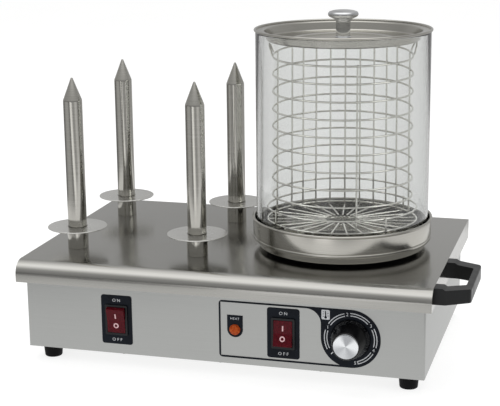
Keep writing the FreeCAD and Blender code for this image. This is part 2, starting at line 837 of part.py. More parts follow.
def lid_pan():
    """Return the stamped lid: rolled rim, flange, shallow cup and a stiffening rib."""
    flange = lid_flange_level
    floor = lid_floor_level - sheet
    foot_radius = lid_cup_radius - lid_cup_taper
    rib_in = lid_rib_radius - lid_rib_width / 2
    rib_out = lid_rib_radius + lid_rib_width / 2
    bead_centre = lid_radius - lid_bead_radius
    points = [
        (m4_radius + screw_gap, floor), (rib_in, floor), (lid_rib_radius, floor + lid_rib_height),
        (rib_out, floor), (foot_radius, floor), (lid_cup_radius, flange), (bead_centre, flange),
        (bead_centre, flange + sheet), (lid_cup_radius - sheet, flange + sheet),
        (foot_radius - sheet, floor + sheet), (rib_out, floor + sheet),
        (lid_rib_radius, floor + sheet + lid_rib_height), (rib_in, floor + sheet),
        (m4_radius + screw_gap, floor + sheet)]
    lid = turned(points, pan_x)
    bead = torus(bead_centre, lid_bead_radius, pan_x, 0, flange + lid_bead_radius)
    return lid.fuse(bead).removeSplitter()


def lid_knob():
    """Return the mushroom knob on the lid, with its threaded bore."""
    base = lid_floor_level
    top = base + lid_knob_height
    cap_bottom = top - lid_knob_cap_height
    widest = cap_bottom + lid_knob_cap_height / 3
    stem = turned([
        (0, base), (lid_knob_stem_radius, base), (lid_knob_stem_radius, base + lid_knob_height / 2),
        (lid_knob_neck_radius, cap_bottom - lid_knob_height / 12), (lid_knob_neck_radius + 1, cap_bottom),
        (lid_knob_cap_radius - 1, cap_bottom), (lid_knob_cap_radius, widest), (0, widest)], pan_x)
    knob = stem.fuse(place(dome(lid_knob_cap_radius, top - widest), pan_x, 0, widest)).removeSplitter()
    bore = m4_radius + thread_gap
    return knob.cut(upright_cylinder(pan_x, 0, base, base + lid_screw_length, bore))


def lid_screw():
    """Return the screw that holds the knob from under the lid."""
    return screw_up(pan_x, 0, lid_floor_level - sheet, m4_radius, lid_screw_length)


def hoop_levels():
    """Return the heights of the basket's nine upper hoops."""
    return [lowest_hoop + i * hoop_pitch for i in range(hoop_count)]


def basket_hoops():
    """Return the nine upper hoops."""
    return [torus(hoop_radius, wire_radius, pan_x, 0, level) for level in hoop_levels()]


def basket_base_hoops():
    """Return the two wider hoops at the basket's foot."""
    return [torus(base_hoop_radius, wire_radius, pan_x, 0, level) for level in (lower_base_hoop, upper_base_hoop)]


def basket_uprights():
    """Return the upright wires inside the hoops: a row over the spokes behind and one in front."""
    wires = []
    bottom = spoke_level + wire_radius + weld_gap
    angles = [spoke_phase + 360 * index / spoke_count for index in back_uprights]
    for angle in angles + [front_upright_angle]:
        x, y = around(pan_x, 0, upright_radius, angle)
        wires.append(upright_cylinder(x, y, bottom, top_hoop + wire_radius, wire_radius))
    return wires


def basket_floor():
    """Return the wire floor: an inner ring on evenly spaced spokes."""
    spokes = []
    inner = floor_ring_radius - 2 * wire_radius
    length = base_hoop_radius - inner
    for index in range(spoke_count):
        angle = spoke_phase + 360 * index / spoke_count
        x, y = around(pan_x, 0, inner, angle)
        direction = Vector(math.cos(math.radians(angle)), math.sin(math.radians(angle)), 0)
        spokes.append(Part.makeCylinder(wire_radius, length, Vector(x, y, spoke_level), direction))
    ring_level = spoke_level - 2 * wire_radius - weld_gap
    spokes.append(torus(floor_ring_radius, wire_radius, pan_x, 0, ring_level))
    return spokes


def basket_legs():
    """Return the short wires outside the base hoops that stand in the pan."""
    legs = []
    for index in range(basket_leg_count):
        x, y = around(pan_x, 0, basket_leg_radius, 45 + 360 * index / basket_leg_count)
        legs.append(upright_cylinder(x, y, basket_bottom, upper_base_hoop + wire_radius, wire_radius))
    return legs


def basket_loops():
    """Return the two small lifting loops on the top hoop."""
    loops = []
    for angle in (loop_angle, 180 + loop_angle):
        loop = Part.makeTorus(loop_radius, wire_radius, Vector(0, 0, 0), Z_AXIS, -180, 180, 180)
        loop.rotate(Vector(0, 0, 0), X_AXIS, 90)
        loop.rotate(Vector(0, 0, 0), Z_AXIS, 90)
        loop.rotate(Vector(0, 0, 0), Y_AXIS, loop_tilt)
        loop.translate(Vector(hoop_radius, 0, top_hoop + loop_foot))
        loop.rotate(Vector(0, 0, 0), Z_AXIS, angle)
        loops.append(place(loop, pan_x))
    return loops


def switch_plate(x):
    """Return the label plate behind a rocker switch."""
    half_w = plate_width / 2
    half_h = plate_height / 2
    plate = panel_shape(
        x - half_w, x + half_w, panel_centre_z - half_h, panel_centre_z + half_h,
        plate_corner, front_face - plate_sheet, front_face)
    half_x = switch_body_width / 2 + screw_gap
    half_z = switch_body_height / 2 + screw_gap
    return plate.cut(block(
        x - half_x, x + half_x, front_face - plate_sheet, front_face,
        panel_centre_z - half_z, panel_centre_z + half_z))


def switch_housing(x):
    """Return a switch body with its bezel, rocker cavity, pivot holes and three blades."""
    bezel = panel_shape(
        x - bezel_width / 2, x + bezel_width / 2, panel_centre_z - bezel_height / 2,
        panel_centre_z + bezel_height / 2, bezel_corner, bezel_face, bezel_face + bezel_thickness)
    half_x = switch_body_width / 2
    half_z = switch_body_height / 2
    back = front_face + rocker_radius + switch_body_back
    housing = bezel.fuse(block(
        x - half_x, x + half_x, bezel_face + bezel_thickness, back,
        panel_centre_z - half_z, panel_centre_z + half_z))
    for step in (-1, 0, 1):
        z = panel_centre_z + step * half_z / 2
        housing = housing.fuse(block(
            x - blade_width / 2, x + blade_width / 2, back, back + blade_length,
            z - blade_thickness / 2, z + blade_thickness / 2))
    cavity_x = rocker_width / 2 + rocker_side_gap
    cavity_z = rocker_radius + rocker_end_gap
    cavity_back = rocker_pivot_y + rocker_radius
    housing = housing.cut(block(
        x - cavity_x, x + cavity_x, bezel_face, cavity_back,
        panel_centre_z - cavity_z, panel_centre_z + cavity_z))
    stub_reach = rocker_width / 2 + pivot_stub_length + screw_gap
    pivot = Part.makeCylinder(
        pivot_stub_radius + running_gap, 2 * stub_reach,
        Vector(x - stub_reach, rocker_pivot_y, panel_centre_z), X_AXIS)
    return housing.cut(pivot).removeSplitter()


def rocker(x, tilt):
    """Return a rocker with a shallow V face, tilted about its pivot, with its pivot stubs."""
    half = rocker_width / 2
    drum = Part.makeCylinder(
        rocker_radius, rocker_width, Vector(x - half, rocker_pivot_y, panel_centre_z), X_AXIS)
    crown = rocker_pivot_y - rocker_pivot_depth - rocker_crown
    dip = rocker_pivot_y - rocker_pivot_depth - rocker_dip
    back = rocker_pivot_y + rocker_depth
    top = rocker_radius + 1
    crown_top = crown - (dip - crown) * (top / rocker_half_height - 1)
    outline = [
        Vector(x - half, crown_top, panel_centre_z - top), Vector(x - half, dip, panel_centre_z),
        Vector(x - half, crown_top, panel_centre_z + top), Vector(x - half, back, panel_centre_z + top),
        Vector(x - half, back, panel_centre_z - top)]
    wedge = Part.Face(Part.makePolygon(outline + outline[:1])).extrude(Vector(rocker_width, 0, 0))
    paddle = drum.common(wedge)
    reach = half + pivot_stub_length
    stubs = Part.makeCylinder(
        pivot_stub_radius, 2 * reach, Vector(x - reach, rocker_pivot_y, panel_centre_z), X_AXIS)
    paddle = paddle.fuse(stubs).removeSplitter()
    paddle.rotate(Vector(x, rocker_pivot_y, panel_centre_z), X_AXIS, tilt)
    return paddle


def control_label():
    """Return the thin label: an outlined panel that runs into the round dial plate."""
    y0 = front_face - plate_sheet
    outer = panel_shape(
        outline_left, dial_x, panel_low, panel_high, outline_corner, y0, front_face)
    square_end = block(
        dial_x - 2 * outline_corner, dial_x, y0, front_face, panel_low, panel_high)
    disc = depth_cylinder(dial_x, panel_centre_z, y0, front_face, dial_radius)
    outer = outer.fuse(square_end).fuse(disc)
    window_left = outline_left + outline_width
    window_low = panel_low + outline_width
    window_high = panel_high - outline_width
    window_corner = dial_radius / 2
    outline_end = dial_x - dial_radius
    window = block(window_left, outline_end, y0, front_face, window_low, window_high)
    edges = []
    for edge in window.Edges:
        along_y = abs(edge.tangentAt(edge.FirstParameter).y) > 0.9
        if along_y and edge.Vertexes[0].X > window_left and edge.Vertexes[0].Z > panel_centre_z:
            edges.append(edge)
    window = window.makeFillet(window_corner, edges)
    lower = block(outline_end, dial_x, y0, front_face, window_low, panel_centre_z)
    window = window.fuse(lower).cut(disc)
    label = outer.cut(window)
    cuts = [depth_cylinder(dial_x, panel_centre_z, y0, front_face, shaft_radius + screw_gap)]
    for x in thermostat_screw_places():
        cuts.append(depth_cylinder(x, panel_centre_z, y0, front_face, m4_radius * head_ratio + screw_gap))
    return label.cut(Part.makeCompound(cuts)).removeSplitter()


def thermostat_screw_places():
    """Return the x of the thermostat's two fixing screws."""
    return (dial_x - screw_offset, dial_x + screw_offset)


def thermostat_body():
    """Return the thermostat behind the front wall, with its bearing and screw holes."""
    half = thermostat_width / 2
    body = block(
        dial_x - half, dial_x + half, inner_front_face, thermostat_back,
        panel_centre_z - half, panel_centre_z + half)
    cuts = [depth_cylinder(
        dial_x, panel_centre_z, inner_front_face, inner_front_face + shaft_inside + rest_gap,
        shaft_radius + running_gap)]
    for x in thermostat_screw_places():
        cuts.append(depth_cylinder(
            x, panel_centre_z, inner_front_face, inner_front_face + 3 * m4_radius, m4_radius + thread_gap))
    return body.cut(Part.makeCompound(cuts))


def thermostat_screws():
    """Return the two screws that hold the thermostat, with their heads under the knob."""
    screws = []
    for x in thermostat_screw_places():
        head_height = head_height_ratio * m4_radius
        shank_end = inner_front_face + 2.5 * m4_radius
        shank = depth_cylinder(x, panel_centre_z, front_face, shank_end, m4_radius)
        head = depth_cylinder(
            x, panel_centre_z, front_face - head_height, front_face, head_ratio * m4_radius)
        screws.append(shank.fuse(head).removeSplitter())
    return screws


def thermostat_shaft():
    """Return the shaft from the thermostat's bearing into the knob."""
    return depth_cylinder(
        dial_x, panel_centre_z, knob_back - shaft_socket_depth, inner_front_face + shaft_inside, shaft_radius)


def knob_body():
    """Return the hollow tapered knob with its hub and the seat of its metal face."""
    recess = knob_front + knob_face_recess
    cavity_end = knob_back - knob_cavity_depth
    slope = (knob_base_radius - knob_front_radius) / knob_depth
    cavity_front_radius = knob_base_radius - knob_wall - slope * knob_cavity_depth
    points = [
        (0, recess), (knob_face_radius + thread_gap, recess), (knob_face_radius + thread_gap, knob_front),
        (knob_front_radius, knob_front), (knob_base_radius, knob_back),
        (knob_base_radius - knob_wall, knob_back), (cavity_front_radius, cavity_end),
        (knob_hub_radius, cavity_end), (knob_hub_radius, knob_back - knob_hub_inset),
        (0, knob_back - knob_hub_inset)]
    body = turned_forward(points, dial_x, panel_centre_z)
    return body.cut(depth_cylinder(
        dial_x, panel_centre_z, knob_back - shaft_socket_depth, knob_back, shaft_radius + thread_gap))


def knob_face():
    """Return the spun metal face set into the knob's front."""
    recess = knob_front + knob_face_recess
    return depth_cylinder(
        dial_x, panel_centre_z, recess - knob_face_sheet, recess, knob_face_radius)


def thermostat_bulb():
    """Return the sensing bulb under the pan with its capillary to the thermostat."""
    level = well_floor_level - bulb_radius
    offset = clamp_width / 2 + bulb_clamp_gap + bulb_radius
    inner_ring = element_ring_radius - element_radius - bulb_ring_gap
    half_length = math.sqrt(inner_ring ** 2 - offset ** 2)
    end = pan_x + half_length
    bulb = Part.makeCylinder(
        bulb_radius, 2 * half_length, Vector(pan_x - half_length, offset, level), X_AXIS)
    # The capillary dips under the ring element and comes forward to the thermostat
    low = clamp_level - capillary_drop
    down_x = end + capillary_bend + 1
    side_x = max(down_x, dial_x) + capillary_drop
    turn_y = thermostat_back + capillary_drop
    route = [
        (end - 1, offset, level), (down_x, offset, level), (down_x, offset, low), (side_x, offset, low),
        (side_x, turn_y, low), (dial_x, turn_y, low), (dial_x, thermostat_back, low)]
    return bulb.fuse(bent_tube(route, capillary_bend, capillary_radius))


def lamp_plate():
    """Return the lamp's label plate, square above and round below."""
    half = lamp_plate_half_width
    y0 = front_face - plate_sheet
    plate = block(
        lamp_x - half, lamp_x + half, y0, front_face, panel_centre_z, panel_centre_z + lamp_plate_rise)
    plate = plate.fuse(depth_cylinder(lamp_x, panel_centre_z, y0, front_face, half))
    return plate.cut(depth_cylinder(
        lamp_x, panel_centre_z, y0, front_face, lamp_body_radius + screw_gap)).removeSplitter()


def lamp_lens():
    """Return the domed lens of the signal lamp."""
    face = front_face - plate_sheet
    flange = depth_cylinder(lamp_x, panel_centre_z, face - lens_flange, face, lens_radius)
    cap = dome(lens_radius, lens_dome)
    cap.rotate(Vector(0, 0, 0), X_AXIS, 90)
    return flange.fuse(place(cap, lamp_x, face - lens_flange, panel_centre_z)).removeSplitter()


def lamp_body():
    """Return the lamp holder behind the lens, with its two blades."""
    face = front_face - plate_sheet
    back = face + lamp_body_length
    body = depth_cylinder(lamp_x, panel_centre_z, face, back, lamp_body_radius)
    for side in (-1, 1):
        x = lamp_x + side * lamp_body_radius / 2
        body = body.fuse(block(
            x - blade_thickness / 2, x + blade_thickness / 2, back, back + blade_length,
            panel_centre_z - blade_width / 3, panel_centre_z + blade_width / 3))
    return body


def terminal_block():
    """Return the terminal block on the bottom cover, with a wire entry for each pole."""
    half_l = terminal_length / 2
    half_w = terminal_width / 2
    top = casing_floor + terminal_height
    body = block(
        terminal_x - half_l, terminal_x + half_l, terminal_y - half_w, terminal_y + half_w,
        casing_floor, top)
    cuts = []
    pitch = (terminal_length - 8 * m3_radius) / terminal_poles
    for pole in range(terminal_poles):
        x = terminal_x + (pole - (terminal_poles - 1) / 2) * pitch
        z = casing_floor + terminal_height / 2
        cuts.append(depth_cylinder(x, z, terminal_y - half_w, terminal_y + half_w, m3_radius + 0.5))
        for side in (-1, 1):
            cuts.append(upright_cylinder(x, terminal_y + side * half_w / 2, z, top, m3_radius + 0.5))
    for x, y in terminal_screw_places():
        cuts.append(upright_cylinder(
            x, y, casing_floor, casing_floor + terminal_height * 0.6, m3_radius + thread_gap))
    return body.cut(Part.makeCompound(cuts))


def cord_gland():
    """Return the supply gland in the rear wall, with its through bore."""
    inside = rear_face - sheet - gland_inside
    outside = rear_face + gland_head_length
    shaped = turned_forward([
        (0, inside), (gland_thread_radius, inside), (gland_thread_radius, rear_face),
        (gland_head_radius, rear_face), (gland_head_radius, rear_face + gland_head_length * 0.6),
        (gland_thread_radius - 1, outside), (0, outside)], gland_x, gland_z)
    return shaped.cut(depth_cylinder(gland_x, gland_z, inside, outside, gland_bore_radius))


def gland_locknut():
    """Return the gland's locknut inside the rear wall."""
    body = hexagon(1.45 * gland_thread_radius, locknut_height, 0, 0, 0)
    body.rotate(Vector(0, 0, 0), X_AXIS, 90)
    body = place(body, gland_x, rear_face - sheet, gland_z)
    return body.cut(depth_cylinder(
        gland_x, gland_z, rear_face - sheet - locknut_height, rear_face - sheet,
        gland_thread_radius + thread_gap))


def housing_nodes():
    """Return the nodes of the housing and what holds it together."""
    nodes = {
        "deck_plate": [deck_plate()],
        "casing_shell": [casing_shell()],
        "bottom_cover": [bottom_cover()],
        "foot_screws": foot_screws(),
        "foot_nuts": foot_nuts(),
        "bottom_cover_screws": cover_screws(),
        "side_handle": [side_handle()],
        "handle_screws": handle_screws(),
        "terminal_block": [terminal_block()],
        "cord_gland": [cord_gland()],
        "gland_locknut": [gland_locknut()],
    }
    for name, x, y in foot_places():
        nodes["foot_" + name] = [foot(x, y)]
    return nodes


def spike_nodes():
    """Return the nodes of the four heated spikes."""
    nodes = {
        "spike_heaters": [spike_heater(x, y) for name, x, y in spike_places()],
        "spike_nuts": [spike_nut(x, y) for name, x, y in spike_places()],
    }
    for name, x, y in spike_places():
        nodes["spike_" + name] = [spike(x, y)]
        nodes["spike_sleeve_" + name] = [spike_sleeve(x, y)]
        nodes["stop_disc_" + name] = [stop_disc(x, y)]
    return nodes


def steamer_nodes():
    """Return the nodes of the pan, element, glass, basket and lid."""
    return {
        "boiler_pan": [boiler_pan()],
        "pan_gasket": [pan_gasket()],
        "pan_nuts": pan_nuts(),
        "heating_element": [heating_element()],
        "element_clamp": [element_clamp()],
        "glass_cylinder": [glass_cylinder()],
        "lid_pan": [lid_pan()],
        "lid_knob": [lid_knob()],
        "lid_screw": [lid_screw()],
        "basket_hoops": basket_hoops(),
        "basket_base_hoops": basket_base_hoops(),
        "basket_uprights": basket_uprights(),
        "basket_floor": basket_floor(),
        "basket_legs": basket_legs(),
        "basket_loops": basket_loops(),
    }


def control_nodes():
    """Return the nodes of the switches, lamp, dial and thermostat."""
    return {
        "left_switch_plate": [switch_plate(left_switch_x)],
        "left_switch_housing": [switch_housing(left_switch_x)],
        "left_rocker": [rocker(left_switch_x, rocker_tilt)],
        "right_switch_plate": [switch_plate(right_switch_x)],
        "right_switch_housing": [switch_housing(right_switch_x)],
        "right_rocker": [rocker(right_switch_x, -rocker_tilt)],
        "control_label": [control_label()],
        "thermostat_body": [thermostat_body()],
        "thermostat_screws": thermostat_screws(),
        "thermostat_shaft": [thermostat_shaft()],
        "thermostat_bulb": [thermostat_bulb()],
        "knob_body": [knob_body()],
        "knob_face": [knob_face()],
        "lamp_plate": [lamp_plate()],
        "lamp_lens": [lamp_lens()],
        "lamp_body": [lamp_body()],
    }


os.makedirs("parts", exist_ok=True)
for group in (housing_nodes(), spike_nodes(), steamer_nodes(), control_nodes()):
    for node_name, node_shapes in group.items():
        write(node_name, node_shapes)
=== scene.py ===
"""Blender scene of a counter-top toaster with a steam cylinder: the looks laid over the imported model."""
import json
import logging
import math
from dataclasses import dataclass
from enum import Enum
from functools import partial
from typing import ClassVar, Sequence

import bmesh
import bpy
from mathutils import Matrix, Vector


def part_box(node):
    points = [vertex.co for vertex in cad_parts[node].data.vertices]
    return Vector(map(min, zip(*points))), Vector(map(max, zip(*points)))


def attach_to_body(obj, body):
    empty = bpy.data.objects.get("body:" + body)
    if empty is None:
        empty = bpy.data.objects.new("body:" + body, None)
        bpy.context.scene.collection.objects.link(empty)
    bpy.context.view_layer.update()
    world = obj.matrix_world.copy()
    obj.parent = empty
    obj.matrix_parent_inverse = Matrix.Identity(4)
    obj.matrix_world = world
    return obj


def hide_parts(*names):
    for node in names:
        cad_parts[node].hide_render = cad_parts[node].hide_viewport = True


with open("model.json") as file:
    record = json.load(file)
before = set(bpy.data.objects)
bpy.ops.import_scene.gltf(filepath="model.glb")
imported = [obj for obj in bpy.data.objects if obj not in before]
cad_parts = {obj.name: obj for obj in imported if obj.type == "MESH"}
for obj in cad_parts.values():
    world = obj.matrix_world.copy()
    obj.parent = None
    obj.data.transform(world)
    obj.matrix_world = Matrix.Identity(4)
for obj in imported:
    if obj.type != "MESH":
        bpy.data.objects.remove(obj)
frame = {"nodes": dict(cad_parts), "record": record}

MM = 0.001
SHARP = 32.0          # degrees; edges that turn further stay sharp
CAD_MERGE = 2e-6      # metres; corners of the CAD's loose triangles this near are one
MESH_MERGE = 2e-7     # metres; the same for meshes made here
CAD_FLAT = 0.6        # degrees; faces of a CAD copy that meet more flatly are one
BEVEL_ANGLE = 34.0    # degrees; edges that turn further are broken
ROUND_SHARE = 0.48    # of a side, the most that a rounded corner takes up
NOISE_LOW, NOISE_HIGH = 0.3, 0.7    # where most of a noise lies
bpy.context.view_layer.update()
DECK_LOW, DECK_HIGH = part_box("deck_plate")
# the deck's middle, in metres
MIDDLE = Vector(((DECK_LOW.x + DECK_HIGH.x) / 2, (DECK_LOW.y + DECK_HIGH.y) / 2, 0))
CORNERS = ("front_left", "front_right", "rear_left", "rear_right")
BODY_OF = {node: body for body, nodes in frame["record"]["behaviour"]["bodies"].items() for node in nodes}
SLOT_OF = {entry["node"]: entry["material_slot"] for entry in frame["record"]["subparts"]}
log = logging.getLogger("toaster")

Point2 = tuple[float, float]
Corner = tuple[float, float, float]
Object = bpy.types.Object
Tree = bpy.types.NodeTree
Socket = bpy.types.NodeSocket
Outputs = bpy.types.NodeOutputs
BMesh = bmesh.types.BMesh


# Placing, and plain meshes

class Turning(Enum):
    """The line that a turned piece is turned about."""

    UP = "up"
    FORWARD = "forward"


@dataclass(frozen=True)
class Box:
    """A box in millimetres, measured from the deck's middle."""

    low: Vector
    high: Vector

    @property
    def x(self) -> float:
        """Give the middle's distance to the right."""
        return (self.low.x + self.high.x) / 2

    @property
    def y(self) -> float:
        """Give the middle's distance to the back."""
        return (self.low.y + self.high.y) / 2

    @property
    def z(self) -> float:
        """Give the middle's height."""
        return (self.low.z + self.high.z) / 2

    @property
    def radius(self) -> float:
        """Give half the width."""
        return (self.high.x - self.low.x) / 2


def at(x: float, y: float, z: float) -> Vector:
    """Give the point of the frame, in metres, for millimetres measured from the deck's middle."""
    return Vector((x, y, z)) * MM + MIDDLE


def cad(node: str) -> Box:
    """Give a CAD node's box."""
    low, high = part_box(node)
    return Box((low - MIDDLE) / MM, (high - MIDDLE) / MM)


def new_object(name: str, mesh: bpy.types.Mesh) -> Object:
    """Put a mesh in the scene as an object at the origin.

    Args:
        name: the piece's name.
        mesh: its mesh, in metres.

    Returns:
        The new object.
    """
    mesh.name = name
    piece = bpy.data.objects.new(name, mesh)
    bpy.context.scene.collection.objects.link(piece)
    return piece


def smooth(mesh: bpy.types.Mesh, sharp: float) -> None:
    """Shade a mesh smooth, but keep the edges sharp that turn further than some degrees."""
    mesh.shade_smooth()
    mesh.set_sharp_from_angle(angle=math.radians(sharp))


def close(name: str, builder: BMesh, sharp: float = SHARP, mend: bool = True) -> Object:
    """Turn a bmesh into a piece.

    Args:
        name: the piece's name.
        builder: the bmesh, in metres; it is freed.
        sharp: edges over this angle, in degrees, stay sharp.
        mend: whether doubles are merged and the faces turned outwards first.

    Returns:
        The piece.
    """
    if mend:
        bmesh.ops.remove_doubles(builder, verts=builder.verts, dist=MESH_MERGE)
        bmesh.ops.recalc_face_normals(builder, faces=builder.faces)
    mesh = bpy.data.meshes.new(name)
    builder.to_mesh(mesh)
    builder.free()
    smooth(mesh, sharp)
    return new_object(name, mesh)


def rounded(corners: Sequence[Corner], closed: bool = False, steps: int = 5) -> list[Point2]:
    """Round the corners of an outline.

    Args:
        corners: (radius or x, height or y, rounding) for each corner, in millimetres.
        closed: whether the last corner joins the first.
        steps: points on each rounded corner.

    Returns:
        The outline's points.
    """
    count = len(corners)
    points: list[Point2] = []
    for index, (x, y, size) in enumerate(corners):
        if size <= 0 or (not closed and index in (0, count - 1)):
            points.append((x, y))
            continue
        here = Vector((x, y))
        before = Vector(corners[index - 1][:2]) - here
        after = Vector(corners[(index + 1) % count][:2]) - here
        reach = min(size, ROUND_SHARE * before.length, ROUND_SHARE * after.length)
        start = here + before.normalized() * reach
        end = here + after.normalized() * reach
        for step in range(steps + 1):
            t = step / steps
            spot = start * (1 - t) ** 2 + here * 2 * t * (1 - t) + end * t ** 2
            points.append((spot.x, spot.y))
    return points


def bead(centre: Point2, radius: float, first: float, last: float, steps: int = 14) -> list[Point2]:
    """Give points along an arc, such as a rolled edge's.

    Args:
        centre: the arc's middle.
        radius: its radius.
        first: start angle in degrees.
        last: end angle in degrees.
        steps: pieces of the arc.

    Returns:
        The arc's points.
    """
    angles = [math.radians(first + (last - first) * step / steps) for step in range(steps + 1)]
    return [(centre[0] + radius * math.cos(a), centre[1] + radius * math.sin(a)) for a in angles]


def lathe(name: str, outline: Sequence[Point2], centre: Point2, turning: Turning = Turning.UP,
          steps: int = 96, closed: bool = True, sharp: float = SHARP) -> Object:
    """Make a piece turned about one line.

    Args:
        name: the piece's name.
        outline: (radius, place along the line) points in millimetres.
        centre: (x, y) of a line that goes up, or (x, z) of one that goes forward.
        turning: which of the two.
        steps: sides round the line.
        closed: whether the outline is a loop, as a wall's section is.
        sharp: edges over this angle stay sharp.

    Returns:
        The piece.
    """
    builder = bmesh.new()
    rings = []
    for radius, along in outline:
        ring = []
        for step in range(1 if radius < 1e-6 else steps):
            angle = 2 * math.pi * step / steps
            across, over = centre[0] + radius * math.cos(angle), centre[1] + radius * math.sin(angle)
            spot = at(across, over, along) if turning is Turning.UP else at(across, along, over)
            ring.append(builder.verts.new(spot))
        rings.append(ring)
    pairs = list(zip(rings, rings[1:]))
    if closed:
        pairs.append((rings[-1], rings[0]))
    for one, two in pairs:
        if len(one) == len(two) == 1:
            continue
        for here in range(steps):
            there = (here + 1) % steps
            near = [one[step % len(one)] for step in (here, there)]
            far = [two[step % len(two)] for step in (there, here)]
            builder.faces.new(list(dict.fromkeys(near + far)))
    return close(name, builder, sharp)


def bake(piece: Object, sharp: float | None = SHARP) -> Object:
    """Turn a piece's modifiers into plain mesh and drop them.

    Args:
        piece: the piece with its modifiers.
        sharp: edges over this angle stay sharp; None leaves faces and shading as the modifiers made them.

    Returns:
        The same piece.
    """
    bpy.context.view_layer.update()
    graph = bpy.context.evaluated_depsgraph_get()
    mesh = bpy.data.meshes.new_from_object(piece.evaluated_get(graph), depsgraph=graph)
    piece.modifiers.clear()
    if sharp is not None:
        builder = bmesh.new()
        builder.from_mesh(mesh)
        bmesh.ops.recalc_face_normals(builder, faces=builder.faces)
        builder.to_mesh(mesh)
        builder.free()
        smooth(mesh, sharp)
    piece.data = mesh
    mesh.name = piece.name
    return piece


def cad_copy(node: str) -> BMesh:
    """Copy a CAD node's mesh into a bmesh, with its loose triangles joined.

    Args:
        node: name of the CAD node.

    Returns:
        The bmesh.
    """
    builder = bmesh.new()
    builder.from_mesh(frame["nodes"][node].data)
    bmesh.ops.remove_doubles(builder, verts=builder.verts, dist=CAD_MERGE)
    return builder


def islands(node: str) -> list[Box]:
    """Find the separate solids of a CAD node.

    Args:
        node: name of the CAD node.

    Returns:
        Each solid's box.
    """
    builder = cad_copy(node)
    left = dict.fromkeys(builder.verts)
    boxes = []
    while left:
        heap, found = [next(iter(left))], []
        del left[heap[0]]
        while heap:
            vert = heap.pop()
            found.append((vert.co - MIDDLE) / MM)
            for link in vert.link_edges:
                other = link.other_vert(vert)
                if other in left:
                    del left[other]
                    heap.append(other)
        boxes.append(Box(Vector([*map(min, zip(*found))]), Vector([*map(max, zip(*found))])))
    builder.free()
    return boxes


def merge(name: str, pieces: Sequence[Object], sharp: float = SHARP) -> Object:
    """Join several pieces into one mesh.

    Args:
        name: name of the joined piece.
        pieces: the pieces, which are removed.
        sharp: edges over this angle stay sharp.

    Returns:
        The joined piece.
    """
    builder = bmesh.new()
    for piece in pieces:
        builder.from_mesh(piece.data)
        bpy.data.objects.remove(piece)
    return close(name, builder, sharp, mend=False)


def paint(piece: Object, material: bpy.types.Material) -> None:
    """Give a piece one material."""
    piece.data.materials.clear()
    piece.data.materials.append(material)


def install(piece: Object, material: bpy.types.Material, node: str) -> None:
    """Paint a piece and let it stand for a CAD node and ride with its body.

    Args:
        piece: the finished piece.
        material: its material.
        node: the CAD node it stands for.
    """
    paint(piece, material)
    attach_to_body(piece, BODY_OF[node])
    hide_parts(node)
    log.info("%s stands for %s, %d faces", piece.name, node, len(piece.data.polygons))


def attach(piece: Object, material: bpy.types.Material, body: str = "housing") -> None:
    """Paint an extra piece, such as a printed mark, and let it ride on a body.

    Args:
        piece: the finished piece.
        material: its material.
        body: the body it rides on.
    """
    paint(piece, material)
    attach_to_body(piece, body)
    log.info("%s rides on %s", piece.name, body)


def dress(node: str, name: str, material: bpy.types.Material, edge: float, segments: int = 3) -> None:
    """Lay a copy of a CAD node over it, with its sharp edges broken.

    Args:
        node: name of the CAD node.
        name: name of the new piece.
        material: its material.
        edge: width of the broken edges in millimetres; 0 leaves them.
        segments: faces across a broken edge.
    """
    builder = cad_copy(node)
    bmesh.ops.dissolve_limit(
        builder, angle_limit=math.radians(CAD_FLAT), verts=builder.verts, edges=builder.edges)
    piece = close(name, builder, mend=False)
    if edge > 0:
        bevel = piece.modifiers.new("broken_edges", "BEVEL")
        bevel.width = edge * MM
        bevel.segments = segments
        bevel.limit_method = "ANGLE"
        bevel.angle_limit = math.radians(BEVEL_ANGLE)
        bevel.harden_normals = True
        bevel.use_clamp_overlap = True
        bake(piece, sharp=None)
    install(piece, material, node)


# Node trees and finishes

def add_node(tree: Tree, kind: str, sockets: dict | None = None, **settings: object) -> bpy.types.Node:
    """Add a node with its settings, values and links.

    Args:
        tree: the node tree.
        kind: the node's type.
        sockets: what goes in each input, by name or number: a value, an output, or a node for its first one.
        settings: the node's own settings.

    Returns:
        The node.
    """
    node = tree.nodes.new(kind)
    for key, value in settings.items():
        setattr(node, key, value)
    for key, value in (sockets or {}).items():
        if isinstance(value, bpy.types.Node):
            value = value.outputs[0]
        if isinstance(value, Socket):
            tree.links.new(value, node.inputs[key])
        else:
            node.inputs[key].default_value = value
    return node


def linear(code: str) -> tuple[float, float, float, float]:
    """Turn an sRGB hex value into linear colour.

    Args:
        code: six hex digits after a hash sign.

    Returns:
        Red, green, blue and an alpha of 1.
    """
    values = [int(code[place:place + 2], 16) / 255 for place in (1, 3, 5)]
    red, green, blue = [v / 12.92 if v <= 0.04045 else ((v + 0.055) / 1.055) ** 2.4 for v in values]
    return red, green, blue, 1.0


def blank_material(name: str) -> tuple[bpy.types.Material, Tree]:
    """Start an empty node material.

    Args:
        name: the material's name.

    Returns:
        The material and its empty tree.
    """
    material = bpy.data.materials.new(name)
    material.use_nodes = True
    material.node_tree.nodes.clear()
    return material, material.node_tree


